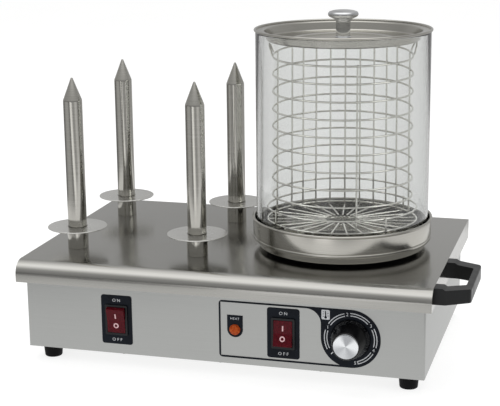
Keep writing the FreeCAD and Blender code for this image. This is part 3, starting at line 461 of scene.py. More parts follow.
@dataclass(frozen=True)
class Finish:
    """What every finish has: a name, two close colours and a gloss."""

    name: str
    colour: str
    second: str
    roughness: float
    smoothest: ClassVar[float] = 0.03     # the least roughness that a pattern may leave

    def tint(self, tree: Tree, value: bpy.types.Node, low: float = NOISE_LOW,
             high: float = NOISE_HIGH) -> Socket:
        """Lean from the first colour to the second with a pattern.

        Args:
            tree: the material's node tree.
            value: the pattern's node.
            low: its value at the first colour.
            high: its value at the second.

        Returns:
            The colour.
        """
        factor = add_node(tree, "ShaderNodeMapRange", {"Value": value, "From Min": low, "From Max": high})
        return add_node(tree, "ShaderNodeMix", {
            0: factor, 6: linear(self.colour), 7: linear(self.second)}, data_type="RGBA").outputs[2]

    def gloss(self, tree: Tree, value: bpy.types.Node, under: float, over: float) -> bpy.types.Node:
        """Spread the roughness round its own value with a noise.

        Args:
            tree: the material's node tree.
            value: the noise's node.
            under: how far the roughness goes below its own value.
            over: how far it goes above.

        Returns:
            The roughness.
        """
        return add_node(tree, "ShaderNodeMapRange", {
            "Value": value, "From Min": NOISE_LOW, "From Max": NOISE_HIGH,
            "To Min": max(self.roughness - under, self.smoothest), "To Max": self.roughness + over})

    def surface(self, tree: Tree) -> dict:
        """Give the shader's inputs; each kind of finish has its own."""
        raise NotImplementedError

    def build(self) -> bpy.types.Material:
        """Make the material.

        Returns:
            The material, with its shader linked to the output.
        """
        material, tree = blank_material(self.name)
        shader = add_node(tree, "ShaderNodeBsdfPrincipled", self.surface(tree))
        add_node(tree, "ShaderNodeOutputMaterial", {"Surface": shader})
        return material


@dataclass(frozen=True)
class SteelSheet(Finish):
    """Stainless sheet: a fine grain and soft clouds give its tone, its gloss and its relief."""

    depth: float = 0.012      # mm of relief
    grain_share: ClassVar[float] = 0.7    # of the tone; the clouds give the rest

    def grained(self, tree: Tree, where: Socket | bpy.types.Node, scale: float, clouds: float,
                swing: tuple[float, float], stretch: float) -> dict:
        """Lay a grain and clouds on the sheet.

        Args:
            tree: the material's node tree.
            where: the coordinates that the grain follows.
            scale: the grain's scale in them.
            clouds: clouds in a metre.
            swing: how far the roughness goes below and above its own value.
            stretch: how far the grain stretches the highlights.

        Returns:
            The shader's inputs.
        """
        add = partial(add_node, tree)
        place = add("ShaderNodeTexCoord").outputs["Object"]
        grain = add("ShaderNodeTexNoise", {"Vector": where, "Scale": scale, "Detail": 3.0})
        cloud = add("ShaderNodeTexNoise", {"Vector": place, "Scale": clouds, "Detail": 2.0})
        tone = add("ShaderNodeMath", {0: grain, 1: self.grain_share}, operation="MULTIPLY")
        tone = add("ShaderNodeMath", {0: cloud, 1: 1 - self.grain_share, 2: tone}, operation="MULTIPLY_ADD")
        return {
            "Base Color": self.tint(tree, tone),
            "Metallic": 1.0,
            "Roughness": self.gloss(tree, tone, *swing),
            "Anisotropic": stretch,
            "Normal": add("ShaderNodeBump", {
                "Height": grain, "Strength": 0.25, "Distance": self.depth * MM})}


@dataclass(frozen=True)
class BrushedSheet(SteelSheet):
    """Stainless sheet with a belt-brushed grain: fine streaks along its length, soft stretched gloss."""

    grain: float = 0.5        # mm between streaks; the real one is 0.1, drawn as coarse as it needs to show
    streak: float = 90.0      # mm that a streak runs
    sideways: ClassVar[float] = 0.7       # how much of its direction a side face turns towards X

    def surface(self, tree: Tree) -> dict:
        """Streaks run along X, and along Y on faces that look sideways.

        Args:
            tree: the material's node tree.

        Returns:
            The shader's inputs.
        """
        add = partial(add_node, tree)
        place = add("ShaderNodeTexCoord").outputs["Object"]
        normal = add("ShaderNodeNewGeometry").outputs["True Normal"]
        turned = add("ShaderNodeSeparateXYZ", {0: normal}).outputs["X"]
        turned = add("ShaderNodeMath", {0: turned}, operation="ABSOLUTE")
        turned = add("ShaderNodeMath", {0: turned, 1: self.sideways}, operation="GREATER_THAN")
        fine, long = 1 / (self.grain * MM), 1 / (self.streak * MM)
        along = add("ShaderNodeMapping", {"Vector": place, "Scale": (long, fine, fine)})
        aside = add("ShaderNodeMapping", {"Vector": place, "Scale": (fine, long, fine)})
        where = add("ShaderNodeMix", {0: turned, 4: along, 5: aside}, data_type="VECTOR").outputs[1]
        return self.grained(tree, where, 1.0, 14.0, (0.05, 0.06), 0.3)


@dataclass(frozen=True)
class SpunSteel(SteelSheet):
    """Stainless sheet spun on a lathe: fine rings about the middle and a soft gloss across them."""

    centre: Point2 = (0.0, 0.0)   # mm from the deck's middle
    ring: float = 0.6             # mm between rings; the real one is finer, drawn so that it shows

    def surface(self, tree: Tree) -> dict:
        """Rings follow the distance from the piece's own upright line.

        Args:
            tree: the material's node tree.

        Returns:
            The shader's inputs.
        """
        add = partial(add_node, tree)
        place = add("ShaderNodeTexCoord").outputs["Object"]
        moved = add("ShaderNodeMapping", {"Vector": place, "Location": -at(*self.centre, 0)})
        parts = add("ShaderNodeSeparateXYZ", {0: moved}).outputs
        flat = add("ShaderNodeCombineXYZ", {0: parts["X"], 1: parts["Y"]})
        radius = add("ShaderNodeVectorMath", {0: flat}, operation="LENGTH").outputs["Value"]
        rings = add("ShaderNodeCombineXYZ", {0: radius, 1: parts["Z"]})
        return self.grained(tree, rings, 1 / (self.ring * MM), 18.0, (0.04, 0.05), 0.35)


@dataclass(frozen=True)
class TurnedSteel(Finish):
    """Stainless bar and tube, turned and buffed: close rings across its length."""

    ring: float = 0.45        # mm between tool marks, drawn coarser than the real 0.1

    def surface(self, tree: Tree) -> dict:
        """Rings follow the height, with a little drift round the piece.

        Args:
            tree: the material's node tree.

        Returns:
            The shader's inputs.
        """
        add = partial(add_node, tree)
        place = add("ShaderNodeTexCoord").outputs["Object"]
        where = add("ShaderNodeMapping", {"Vector": place, "Scale": (30.0, 30.0, 1 / (self.ring * MM))})
        grain = add("ShaderNodeTexNoise", {"Vector": where, "Scale": 1.0, "Detail": 3.0})
        return {
            "Base Color": self.tint(tree, grain),
            "Metallic": 1.0,
            "Roughness": self.gloss(tree, grain, 0.03, 0.04),
            "Normal": add("ShaderNodeBump", {"Height": grain, "Strength": 0.1, "Distance": 0.002 * MM})}


@dataclass(frozen=True)
class DrawnMetal(Finish):
    """Bright or plated metal with faint clouding: drawn wire, chrome, zinc, copper, heater sheath."""

    cloud: float = 9.0        # mm across a patch of the clouding
    dent: float = 0.004       # mm

    def surface(self, tree: Tree) -> dict:
        """Faint patches in colour and gloss.

        Args:
            tree: the material's node tree.

        Returns:
            The shader's inputs.
        """
        add = partial(add_node, tree)
        place = add("ShaderNodeTexCoord").outputs["Object"]
        patch = add("ShaderNodeTexNoise", {"Vector": place, "Scale": 1 / (self.cloud * MM), "Detail": 3.0})
        return {
            "Base Color": self.tint(tree, patch),
            "Metallic": 1.0,
            "Roughness": self.gloss(tree, patch, 0.04, 0.05),
            "Normal": add("ShaderNodeBump", {"Height": patch, "Strength": 0.2, "Distance": self.dent * MM})}


@dataclass(frozen=True)
class MouldedPlastic(Finish):
    """Moulded plastic or rubber: a fine leathery grain from the mould and a matching sheen."""

    grain: float = 0.35       # mm between the mould's grain cells
    depth: float = 0.01       # mm
    coat: float = 0.0         # 1 for a polished mould
    shine: float = 0.3        # how much of the plain plastic's reflection the grain leaves

    def surface(self, tree: Tree) -> dict:
        """Grain in the relief, gloss and, barely, the colour.

        Args:
            tree: the material's node tree.

        Returns:
            The shader's inputs.
        """
        add = partial(add_node, tree)
        place = add("ShaderNodeTexCoord").outputs["Object"]
        cells = add("ShaderNodeTexVoronoi", {
            "Vector": place, "Scale": 1 / (self.grain * MM)}, feature="SMOOTH_F1").outputs["Distance"]
        cloud = add("ShaderNodeTexNoise", {"Vector": place, "Scale": 60.0, "Detail": 4.0})
        return {
            "Base Color": self.tint(tree, cloud),
            "Roughness": self.gloss(tree, cloud, 0.04, 0.06),
            "IOR": 1.5,
            "Specular IOR Level": self.shine,
            "Coat Weight": self.coat,
            "Coat Roughness": 0.12,
            "Normal": add("ShaderNodeBump", {
                "Height": cells, "Strength": 0.3, "Distance": self.depth * MM})}


@dataclass(frozen=True)
class TintedLens(Finish):
    """Tinted polycarbonate with a glossy skin, and a painted glow: faint emission that stands in for light
    scattered back out.
    """

    glow: float = 0.03        # strength of the painted glow, emission standing in for light given back

    def surface(self, tree: Tree) -> dict:
        """Deeper colour in the body, lighter where moulded prisms show through.

        Args:
            tree: the material's node tree.

        Returns:
            The shader's inputs.
        """
        add = partial(add_node, tree)
        place = add("ShaderNodeTexCoord").outputs["Object"]
        prisms = add("ShaderNodeTexNoise", {"Vector": place, "Scale": 420.0, "Detail": 1.0})
        colour = self.tint(tree, prisms)
        return {
            "Base Color": colour,
            "Roughness": self.gloss(tree, prisms, 0.02, 0.05),
            "IOR": 1.5,
            "Subsurface Weight": 0.25,
            "Subsurface Radius": (0.004, 0.0015, 0.0008),
            "Subsurface Scale": 1.0,
            # painted glow: a faint emission in the piece's own colour stands in for light scattered back out
            "Emission Color": colour,
            "Emission Strength": self.glow,
            "Specular IOR Level": 0.12}


@dataclass(frozen=True)
class ClearGlass(Finish):
    """Borosilicate tube: polished, with faint draw lines up its wall and a little grey in its thickness."""

    density: float = 80.0     # how fast the glass takes light away, per metre

    def surface(self, tree: Tree) -> dict:
        """Draw lines run up the tube and bend what shows through it a very little.

        Args:
            tree: the material's node tree.

        Returns:
            The shader's inputs.
        """
        add = partial(add_node, tree)
        place = add("ShaderNodeTexCoord").outputs["Object"]
        where = add("ShaderNodeMapping", {"Vector": place, "Scale": (55.0, 55.0, 2.0)})
        lines = add("ShaderNodeTexNoise", {"Vector": where, "Scale": 1.0, "Detail": 1.0})
        return {
            "Base Color": self.tint(tree, lines, 0.0, 1.0),
            "Roughness": self.roughness,
            "IOR": 1.47,
            "Transmission Weight": 1.0,
            "Normal": add("ShaderNodeBump", {"Height": lines, "Strength": 0.15, "Distance": 0.05 * MM})}

    def build(self) -> bpy.types.Material:
        """Make the material with the glass's own grey inside the wall.

        Returns:
            The material.
        """
        material = super().build()
        tree = material.node_tree
        output = next(node for node in tree.nodes if node.type == "OUTPUT_MATERIAL")
        grey = add_node(tree, "ShaderNodeVolumeAbsorption", {
            "Color": (0.5, 0.5, 0.49, 1.0), "Density": self.density})
        tree.links.new(grey.outputs[0], output.inputs["Volume"])
        return material


@dataclass(frozen=True)
class SpunAluminium(Finish):
    """Turned aluminium cap: fine rings in its relief, and bright and dark sectors of reflection painted into
    its colour.
    """

    centre: Point2 = (0.0, 0.0)   # x and z of the knob's line, in mm
    waves: tuple[Point2, ...] = ((3.0, 0.7), (2.0, 1.9))   # painted sheen: (sectors in a turn, start in radians)

    def surface(self, tree: Tree) -> dict:
        """Fine rings in the relief, and a painted sheen: bright and dark sectors of reflection laid into the
        colour.

        Args:
            tree: the material's node tree.

        Returns:
            The shader's inputs.
        """
        add = partial(add_node, tree)
        middle = at(self.centre[0], 0, self.centre[1])
        place = add("ShaderNodeTexCoord").outputs["Object"]
        moved = add("ShaderNodeMapping", {"Vector": place, "Location": -middle})
        parts = add("ShaderNodeSeparateXYZ", {0: moved}).outputs
        angle = add("ShaderNodeMath", {0: parts["Z"], 1: parts["X"]}, operation="ARCTAN2")
        # painted sheen: waves round the cap give bright and dark sectors of reflection, laid into the colour
        painted_sheen_fans = []
        for count, start in self.waves:
            turned = add("ShaderNodeMath", {0: angle, 1: count, 2: start}, operation="MULTIPLY_ADD")
            painted_sheen_fans.append(add("ShaderNodeMath", {0: turned}, operation="SINE"))
        painted_sheen_sum = add("ShaderNodeMath", dict(enumerate(painted_sheen_fans)), operation="ADD")
        painted_sheen_level = add("ShaderNodeMapRange", {
            "Value": painted_sheen_sum, "From Min": -1.6, "From Max": 1.6}, interpolation_type="SMOOTHSTEP")
        flat = add("ShaderNodeCombineXYZ", {0: parts["X"], 1: parts["Z"]})
        radius = add("ShaderNodeVectorMath", {0: flat}, operation="LENGTH").outputs["Value"]
        line = add("ShaderNodeCombineXYZ", {0: radius})
        rings = add("ShaderNodeTexNoise", {"Vector": line, "Scale": 3500.0, "Detail": 2.0})
        return {
            # the painted sheen sets the colour, from the dark sector's grey to the bright sector's
            "Base Color": self.tint(tree, painted_sheen_level, 0.0, 1.0),
            "Metallic": 1.0,
            "Roughness": self.gloss(tree, rings, 0.04, 0.05),
            "Anisotropic": 0.6,
            "Normal": add("ShaderNodeBump", {"Height": rings, "Strength": 0.3, "Distance": 0.01 * MM})}


class Palette:
    """Every material of the object, made once."""

    def __init__(self, pan: Point2, dial: Point2) -> None:
        """Make the materials.

        Args:
            pan: x and y of the steamer's middle.
            dial: x and z of the knob's line.
        """
        # 304 stainless sheet, belt-brushed: grey with fine streaks, soft reflections
        self.deck = BrushedSheet("brushed_stainless_deck", "#A6A5A0", "#AEADA9", 0.19, depth=0.004).build()
        self.casing = BrushedSheet(
            "brushed_stainless_casing", "#A9AAA8", "#B0B1AF", 0.34, depth=0.006).build()
        # stainless pan and lid, spun and satin polished: faint rings
        self.pan = SpunSteel("spun_stainless", "#B4B2AB", "#BFBDB6", 0.17, centre=pan).build()
        # spikes turned and buffed, discs blanked and tumbled: clean dark and pale reflections
        self.spike = TurnedSteel("turned_stainless", "#B3B1AA", "#BDBBB5", 0.13).build()
        self.disc = DrawnMetal(
            "satin_stainless_disc", "#DCDBD7", "#E2E1DD", 0.24, cloud=16.0, dent=0.0006).build()
        # bright drawn stainless wire and chrome plate: near mirrors
        self.wire = DrawnMetal(
            "bright_drawn_wire", "#D2D1CB", "#DAD9D3", 0.14, cloud=4.0, dent=0.0015).build()
        self.chrome = DrawnMetal("chrome_plate", "#C9CACB", "#D6D7D8", 0.06, cloud=14.0, dent=0.001).build()
        # inner metals: dull zinc, a heater's dark oxide, bare copper pipe
        self.zinc = DrawnMetal("zinc_plated_steel", "#A9ABAA", "#BFC0BD", 0.32, cloud=2.5).build()
        self.sheath = DrawnMetal("oxidised_heater_sheath", "#54514D", "#6B665F", 0.5, cloud=6.0).build()
        self.copper = DrawnMetal("bare_copper", "#B8734A", "#C98A62", 0.28, cloud=5.0).build()
        # aluminium faced on a lathe: fine rings, and a painted sheen of bright and dark reflected sectors in
        # its colour
        self.aluminium = SpunAluminium("spun_aluminium", "#A9ABAE", "#EDEFF1", 0.24, centre=dial).build()
        # glass-filled nylon, ABS and phenolic, moulded: a fine grain that breaks the gloss
        self.handle = MouldedPlastic("moulded_black_nylon", "#0A0B0C", "#131415", 0.32, depth=0.02).build()
        self.black = MouldedPlastic("moulded_black_abs", "#0D0E10", "#15161A", 0.3).build()
        self.knob = MouldedPlastic(
            "glossy_black_phenolic", "#070708", "#0E0E10", 0.2, depth=0.004, coat=0.1).build()
        self.phenolic = MouldedPlastic("off_white_phenolic", "#CFCBC0", "#DBD8CE", 0.45).build()
        # rubber: matt and a little coarser
        self.rubber = MouldedPlastic(
            "moulded_rubber", "#070708", "#0E0E0F", 0.6, grain=0.6, depth=0.03, shine=0.12).build()
        # printed film and ink: flat and even
        self.film = MouldedPlastic(
            "printed_polycarbonate_film", "#0F131A", "#161B23", 0.3, depth=0.003, shine=0.1).build()
        self.ink = MouldedPlastic("white_screen_print", "#C9CCD0", "#DADCDF", 0.5, depth=0.002).build()
        self.pink = MouldedPlastic("rocker_marking", "#D9AEB2", "#E8C4C6", 0.45, depth=0.002).build()
        # tinted and clear see-through pieces: depth under a glossy skin; the tinted ones carry a faint
        # painted glow
        self.red = TintedLens("dark_red_polycarbonate", "#470B13", "#57111B", 0.2).build()
        self.amber = TintedLens("amber_polycarbonate", "#973A14", "#B45220", 0.16, glow=0.045).build()
        self.glass = ClearGlass("borosilicate_glass", "#FAFCFB", "#FFFFFF", 0.0).build()

    def for_node(self, node: str) -> bpy.types.Material:
        """Give the material of a CAD node that stays in view.

        Args:
            node: the CAD node's name.

        Returns:
            Its material.
        """
        return {
            "deck_steel": self.deck, "casing_steel": self.casing, "pan_steel": self.pan,
            "spike_steel": self.spike, "wire_steel": self.wire, "screw_steel": self.zinc,
            "heater_steel": self.sheath,
            "knob_chrome": self.chrome, "handle_plastic": self.handle, "black_plastic": self.black,
            "white_plastic": self.phenolic, "knob_plastic": self.knob, "foot_rubber": self.rubber,
            "gasket_rubber": self.rubber, "clear_glass": self.glass, "label_film": self.film,
            "rocker_red": self.red, "copper": self.copper, "spun_aluminium": self.aluminium,
            "lamp_amber": self.amber}[SLOT_OF[node]]


# Geometry node trees

class WireKit:
    """Geometry Nodes trees for what repeats: hoops, fences of wire, spokes and screws."""

    hoop_steps = 120
    wire_sides = 12

    def __init__(self) -> None:
        """Build the trees."""
        self.hoops = self._hoop_tree()
        self.fence = self._fence_tree()
        self.screws = self._screw_tree()

    @staticmethod
    def _start(name: str, inputs: dict[str, str]) -> tuple[Tree, Outputs]:
        """Start a tree with named inputs.

        Args:
            name: the tree's name.
            inputs: the kind of each input after the geometry, by name.

        Returns:
            The tree and what comes in, by name.
        """
        tree = bpy.data.node_groups.new(name, "GeometryNodeTree")
        for label, kind in {"Geometry": "Geometry", **inputs}.items():
            tree.interface.new_socket(name=label, in_out="INPUT", socket_type="NodeSocket" + kind)
        tree.interface.new_socket(name="Geometry", in_out="OUTPUT", socket_type="NodeSocketGeometry")
        return tree, tree.nodes.new("NodeGroupInput").outputs

    @staticmethod
    def _end(tree: Tree, shape: bpy.types.Node, material: Socket) -> Tree:
        """Finish a tree: realise the instances, smooth them and set the material.

        Args:
            tree: the tree.
            shape: the node that gives the geometry so far.
            material: the material input.

        Returns:
            The tree.
        """
        real = add_node(tree, "GeometryNodeRealizeInstances", {"Geometry": shape})
        shaded = add_node(tree, "GeometryNodeSetShadeSmooth", {"Geometry": real})
        dressed = add_node(tree, "GeometryNodeSetMaterial", {"Geometry": shaded, "Material": material})
        add_node(tree, "NodeGroupOutput", {0: dressed})
        return tree

    def _hoop_tree(self) -> Tree:
        """Make the tree of a stack of level hoops.

        Returns:
            The tree.
        """
        tree, given = self._start("hoop_stack", {
            "Hoop Radius": "Float", "Wire Radius": "Float", "Count": "Int", "Pitch": "Float",
            "Lowest": "Vector", "Material": "Material"})
        add = partial(add_node, tree)
        circle, section = [
            add("GeometryNodeCurvePrimitiveCircle", {"Resolution": steps, "Radius": given[size]})
            for steps, size in ((self.hoop_steps, "Hoop Radius"), (self.wire_sides, "Wire Radius"))]
        hoop = add("GeometryNodeCurveToMesh", {"Curve": circle, "Profile Curve": section})
        step = add("ShaderNodeCombineXYZ", {2: given["Pitch"]})
        line = add("GeometryNodeMeshLine", {
            "Count": given["Count"], "Start Location": given["Lowest"], "Offset": step})
        stack = add("GeometryNodeInstanceOnPoints", {"Points": line, "Instance": hoop})
        return self._end(tree, stack, given["Material"])

    def _fence_tree(self) -> Tree:
        """Make the tree of wires set round a circle, upright or as spokes.

        Returns:
            The tree.
        """
        tree, given = self._start("wire_fence", {
            "Circle Radius": "Float", "Wire Radius": "Float", "Count": "Int", "First Angle": "Float",
            "Step": "Float", "Length": "Float", "Middle": "Vector", "Lean": "Float", "Material": "Material"})
        add = partial(add_node, tree)
        line = add("GeometryNodeMeshLine", {"Count": given["Count"]})
        index = add("GeometryNodeInputIndex")
        angle = add("ShaderNodeMath", {
            0: index, 1: given["Step"], 2: given["First Angle"]}, operation="MULTIPLY_ADD")
        east = add("ShaderNodeMath", {0: angle}, operation="COSINE")
        north = add("ShaderNodeMath", {0: angle}, operation="SINE")
        ray = add("ShaderNodeCombineXYZ", {0: east, 1: north})
        ray = add("ShaderNodeVectorMath", {0: ray, "Scale": given["Circle Radius"]}, operation="SCALE")
        spot = add("ShaderNodeVectorMath", {0: ray, 1: given["Middle"]}, operation="ADD")
        points = add("GeometryNodeSetPosition", {"Geometry": line, "Position": spot})
        wire = add("GeometryNodeMeshCylinder", {
            "Vertices": self.wire_sides, "Radius": given["Wire Radius"], "Depth": given["Length"]})
        turn = add("ShaderNodeCombineXYZ", {1: given["Lean"], 2: angle})
        fence = add("GeometryNodeInstanceOnPoints", {"Points": points, "Instance": wire, "Rotation": turn})
        return self._end(tree, fence, given["Material"])

    def _screw_tree(self) -> Tree:
        """Make the tree that sets one screw on each point of a mesh.

        Returns:
            The tree.
        """
        tree, given = self._start("screw_set", {"Screw": "Object", "Material": "Material"})
        screw = add_node(tree, "GeometryNodeObjectInfo", {"Object": given["Screw"]})
        rows = add_node(tree, "GeometryNodeInstanceOnPoints", {
            "Points": given["Geometry"], "Instance": screw.outputs["Geometry"]})
        return self._end(tree, rows, given["Material"])

    @staticmethod
    def grow(name: str, tree: Tree, values: dict, points: Sequence[Vector] = (),
             sharp: float = 40.0) -> Object:
        """Run a tree with its inputs set and bake what it makes.

        Args:
            name: name of the piece.
            tree: the tree.
            values: the inputs' values by name.
            points: places in metres that the tree starts from.
            sharp: edges over this angle stay sharp.

        Returns:
            The piece, as plain mesh.
        """
        mesh = bpy.data.meshes.new(name)
        mesh.from_pydata([tuple(point) for point in points], [], [])
        piece = new_object(name, mesh)
        modifier = piece.modifiers.new(tree.name, "NODES")
        modifier.node_group = tree
        for item in tree.interface.items_tree:
            if item.in_out == "INPUT" and item.name in values:
                modifier[item.identifier] = values[item.name]
        return bake(piece, sharp)


# The housing

@dataclass
class Housing:
    """Folded steel body on four feet, with its handle, bottom screws and cord gland."""

    palette: Palette
    wires: WireKit
    foot_top_radius: float = 12.0
    foot_base_radius: float = 10.0
    foot_bore: float = 2.8
    foot_recess: float = 5.0
    foot_recess_depth: float = 7.0
    sheet_edge: float = 0.25
    handle_edge: float = 1.1
    gland_edge: float = 0.6
    shank_share: float = 1.9      # a screw head's radius over its shank's
    head_share: float = 1.3       # its height over the shank's radius

    def feet(self) -> None:
        """Turn the four feet, each with a soft edge, a grip groove and the recess of its screw."""
        for corner in CORNERS:
            foot = cad("foot_" + corner)
            top = foot.high.z
            outline = rounded([
                (self.foot_bore, top, 0), (self.foot_top_radius, top, 0.6),
                (self.foot_top_radius, top - 2.2, 0.5), (self.foot_top_radius - 0.8, top - 3.2, 0.6),
                (self.foot_base_radius, 0, 1.6), (self.foot_recess + 0.8, 0, 0.4),
                (self.foot_recess, 0.8, 0.4), (self.foot_recess, self.foot_recess_depth, 0),
                (self.foot_bore, self.foot_recess_depth, 0)], closed=True)
            piece = lathe("rubber_foot_" + corner, outline, (foot.x, foot.y), steps=64)
            install(piece, self.palette.rubber, "foot_" + corner)

    def screw(self, radius: float, head: float, height: float, length: float) -> Object:
        """Make one cross-recess pan-head screw that points up from the origin.

        Args:
            radius: the shank's radius in millimetres.
            head: the head's radius.
            height: the head's height.
            length: the shank's length over the head.

        Returns:
            The screw, its head's lowest point at the origin.
        """
        outline = rounded([
            (0, 0, 0), (head * 0.75, 0.05 * height, head * 0.3), (head, 0.55 * height, height * 0.4),
            (head, height, 0.1), (radius, height, 0), (radius, height + length - 0.6, 0.1),
            (radius - 0.5, height + length, 0), (0, height + length, 0)])
        piece = lathe("screw_blank", outline, tuple(-MIDDLE.xy / MM), steps=32, closed=False)
        cutter = bmesh.new()
        for turn in (0, 90):
            matrix = Matrix.Rotation(math.radians(turn), 4, "Z") @ Matrix.Diagonal(
                (head * 1.1 * MM, head * 0.24 * MM, height * 1.1 * MM, 1))
            bmesh.ops.create_cube(cutter, size=1.0, matrix=matrix)
        tool = close("screw_driver", cutter)
        cut = piece.modifiers.new("cross_recess", "BOOLEAN")
        cut.object = tool
        cut.operation = "DIFFERENCE"
        cut.solver = "EXACT"
        cut.use_self = True
        bake(piece)
        bpy.data.objects.remove(tool)
        return piece

    def bottom_screws(self) -> None:
        """Set the cross-recess screws that show from below."""
        for node in ("foot_screws", "bottom_cover_screws"):
            boxes = islands(node)
            head = boxes[0].radius
            shank = head / self.shank_share
            height = self.head_share * shank
            blank = self.screw(shank, head, height, boxes[0].high.z - boxes[0].low.z - height)
            spots = [at(box.x, box.y, box.low.z) for box in boxes]
            piece = self.wires.grow(node.replace("screws", "cross_screws"), self.wires.screws, {
                "Screw": blank, "Material": self.palette.zinc}, spots, SHARP)
            bpy.data.objects.remove(blank)
            install(piece, self.palette.zinc, node)

    def build(self) -> None:
        """Build the whole housing."""
        dress("deck_plate", "deck_sheet", self.palette.deck, self.sheet_edge, 2)
        dress("casing_shell", "casing_sheet", self.palette.casing, self.sheet_edge, 2)
        self.feet()
        dress("side_handle", "moulded_side_handle", self.palette.handle, self.handle_edge)
        self.bottom_screws()
        dress("cord_gland", "cord_gland_moulding", self.palette.black, self.gland_edge)


# The spikes

@dataclass
class SpikeSet:
    """Four heated spikes with their sleeves and loose discs."""

    palette: Palette
    radius: float = 11.0
    root_radius: float = 10.5
    root_rise: float = 0.6
    tip_length: float = 26.0
    tip_radius: float = 1.0
    stem_radius: float = 8.0
    bore_radius: float = 5.3
    solid_length: float = 43.5
    bore_gap: float = 8.0
    disc_bore: float = 11.5
    sleeve_wall: float = 1.5

    def spike(self, corner: str) -> None:
        """Turn one spike, with the bore of its heater.

        Args:
            corner: which of the four, as its nodes are named.
        """
        box = cad("spike_" + corner)
        top, foot = box.high.z, box.low.z
        deck = cad("spike_sleeve_" + corner).low.z
        root = cad("stop_disc_" + corner).high.z + self.root_rise
        shoulder = top - self.tip_length
        bore_top = shoulder - self.solid_length + self.bore_gap
        piece = lathe("toasting_spike_" + corner, rounded([
            (0, top, 0), (self.tip_radius, top - 0.15, 0.5), (self.radius, shoulder, 1.2),
            (self.radius, root, 0.25), (self.root_radius, root, 0.1), (self.root_radius, deck, 0.1),
            (self.stem_radius, deck, 0.1), (self.stem_radius, foot, 0.5), (self.bore_radius, foot, 0.2),
            (self.bore_radius, bore_top, 0.3), (0, bore_top, 0)]), (box.x, box.y), steps=72, closed=False)
        install(piece, self.palette.spike, "spike_" + corner)

    def sleeve(self, corner: str) -> None:
        """Turn the sleeve at a spike's foot.

        Args:
            corner: which of the four.
        """
        box = cad("spike_sleeve_" + corner)
        low, high, inner = box.low.z, box.high.z, box.radius - self.sleeve_wall
        piece = lathe("sleeve_" + corner, rounded([
            (inner, low, 0.2), (box.radius, low, 0.35), (box.radius, high, 0.5), (inner, high, 0.2)],
            closed=True), (box.x, box.y), steps=72)
        install(piece, self.palette.spike, "spike_sleeve_" + corner)

    def disc(self, corner: str) -> None:
        """Turn the thin disc that rests loose on a sleeve.

        Args:
            corner: which of the four.
        """
        box = cad("stop_disc_" + corner)
        low, high, rim = box.low.z, box.high.z, box.radius
        edge = 0.5 * (high - low)
        piece = lathe("loose_disc_" + corner, rounded([
            (self.disc_bore, low, 0.3), (rim, low, edge), (rim, high, edge), (self.disc_bore, high, 0.3)],
            closed=True), (box.x, box.y))
        install(piece, self.palette.disc, "stop_disc_" + corner)

    def build(self) -> None:
        """Build all four."""
        for corner in CORNERS:
            self.spike(corner)
            self.sleeve(corner)
            self.disc(corner)


# The steamer

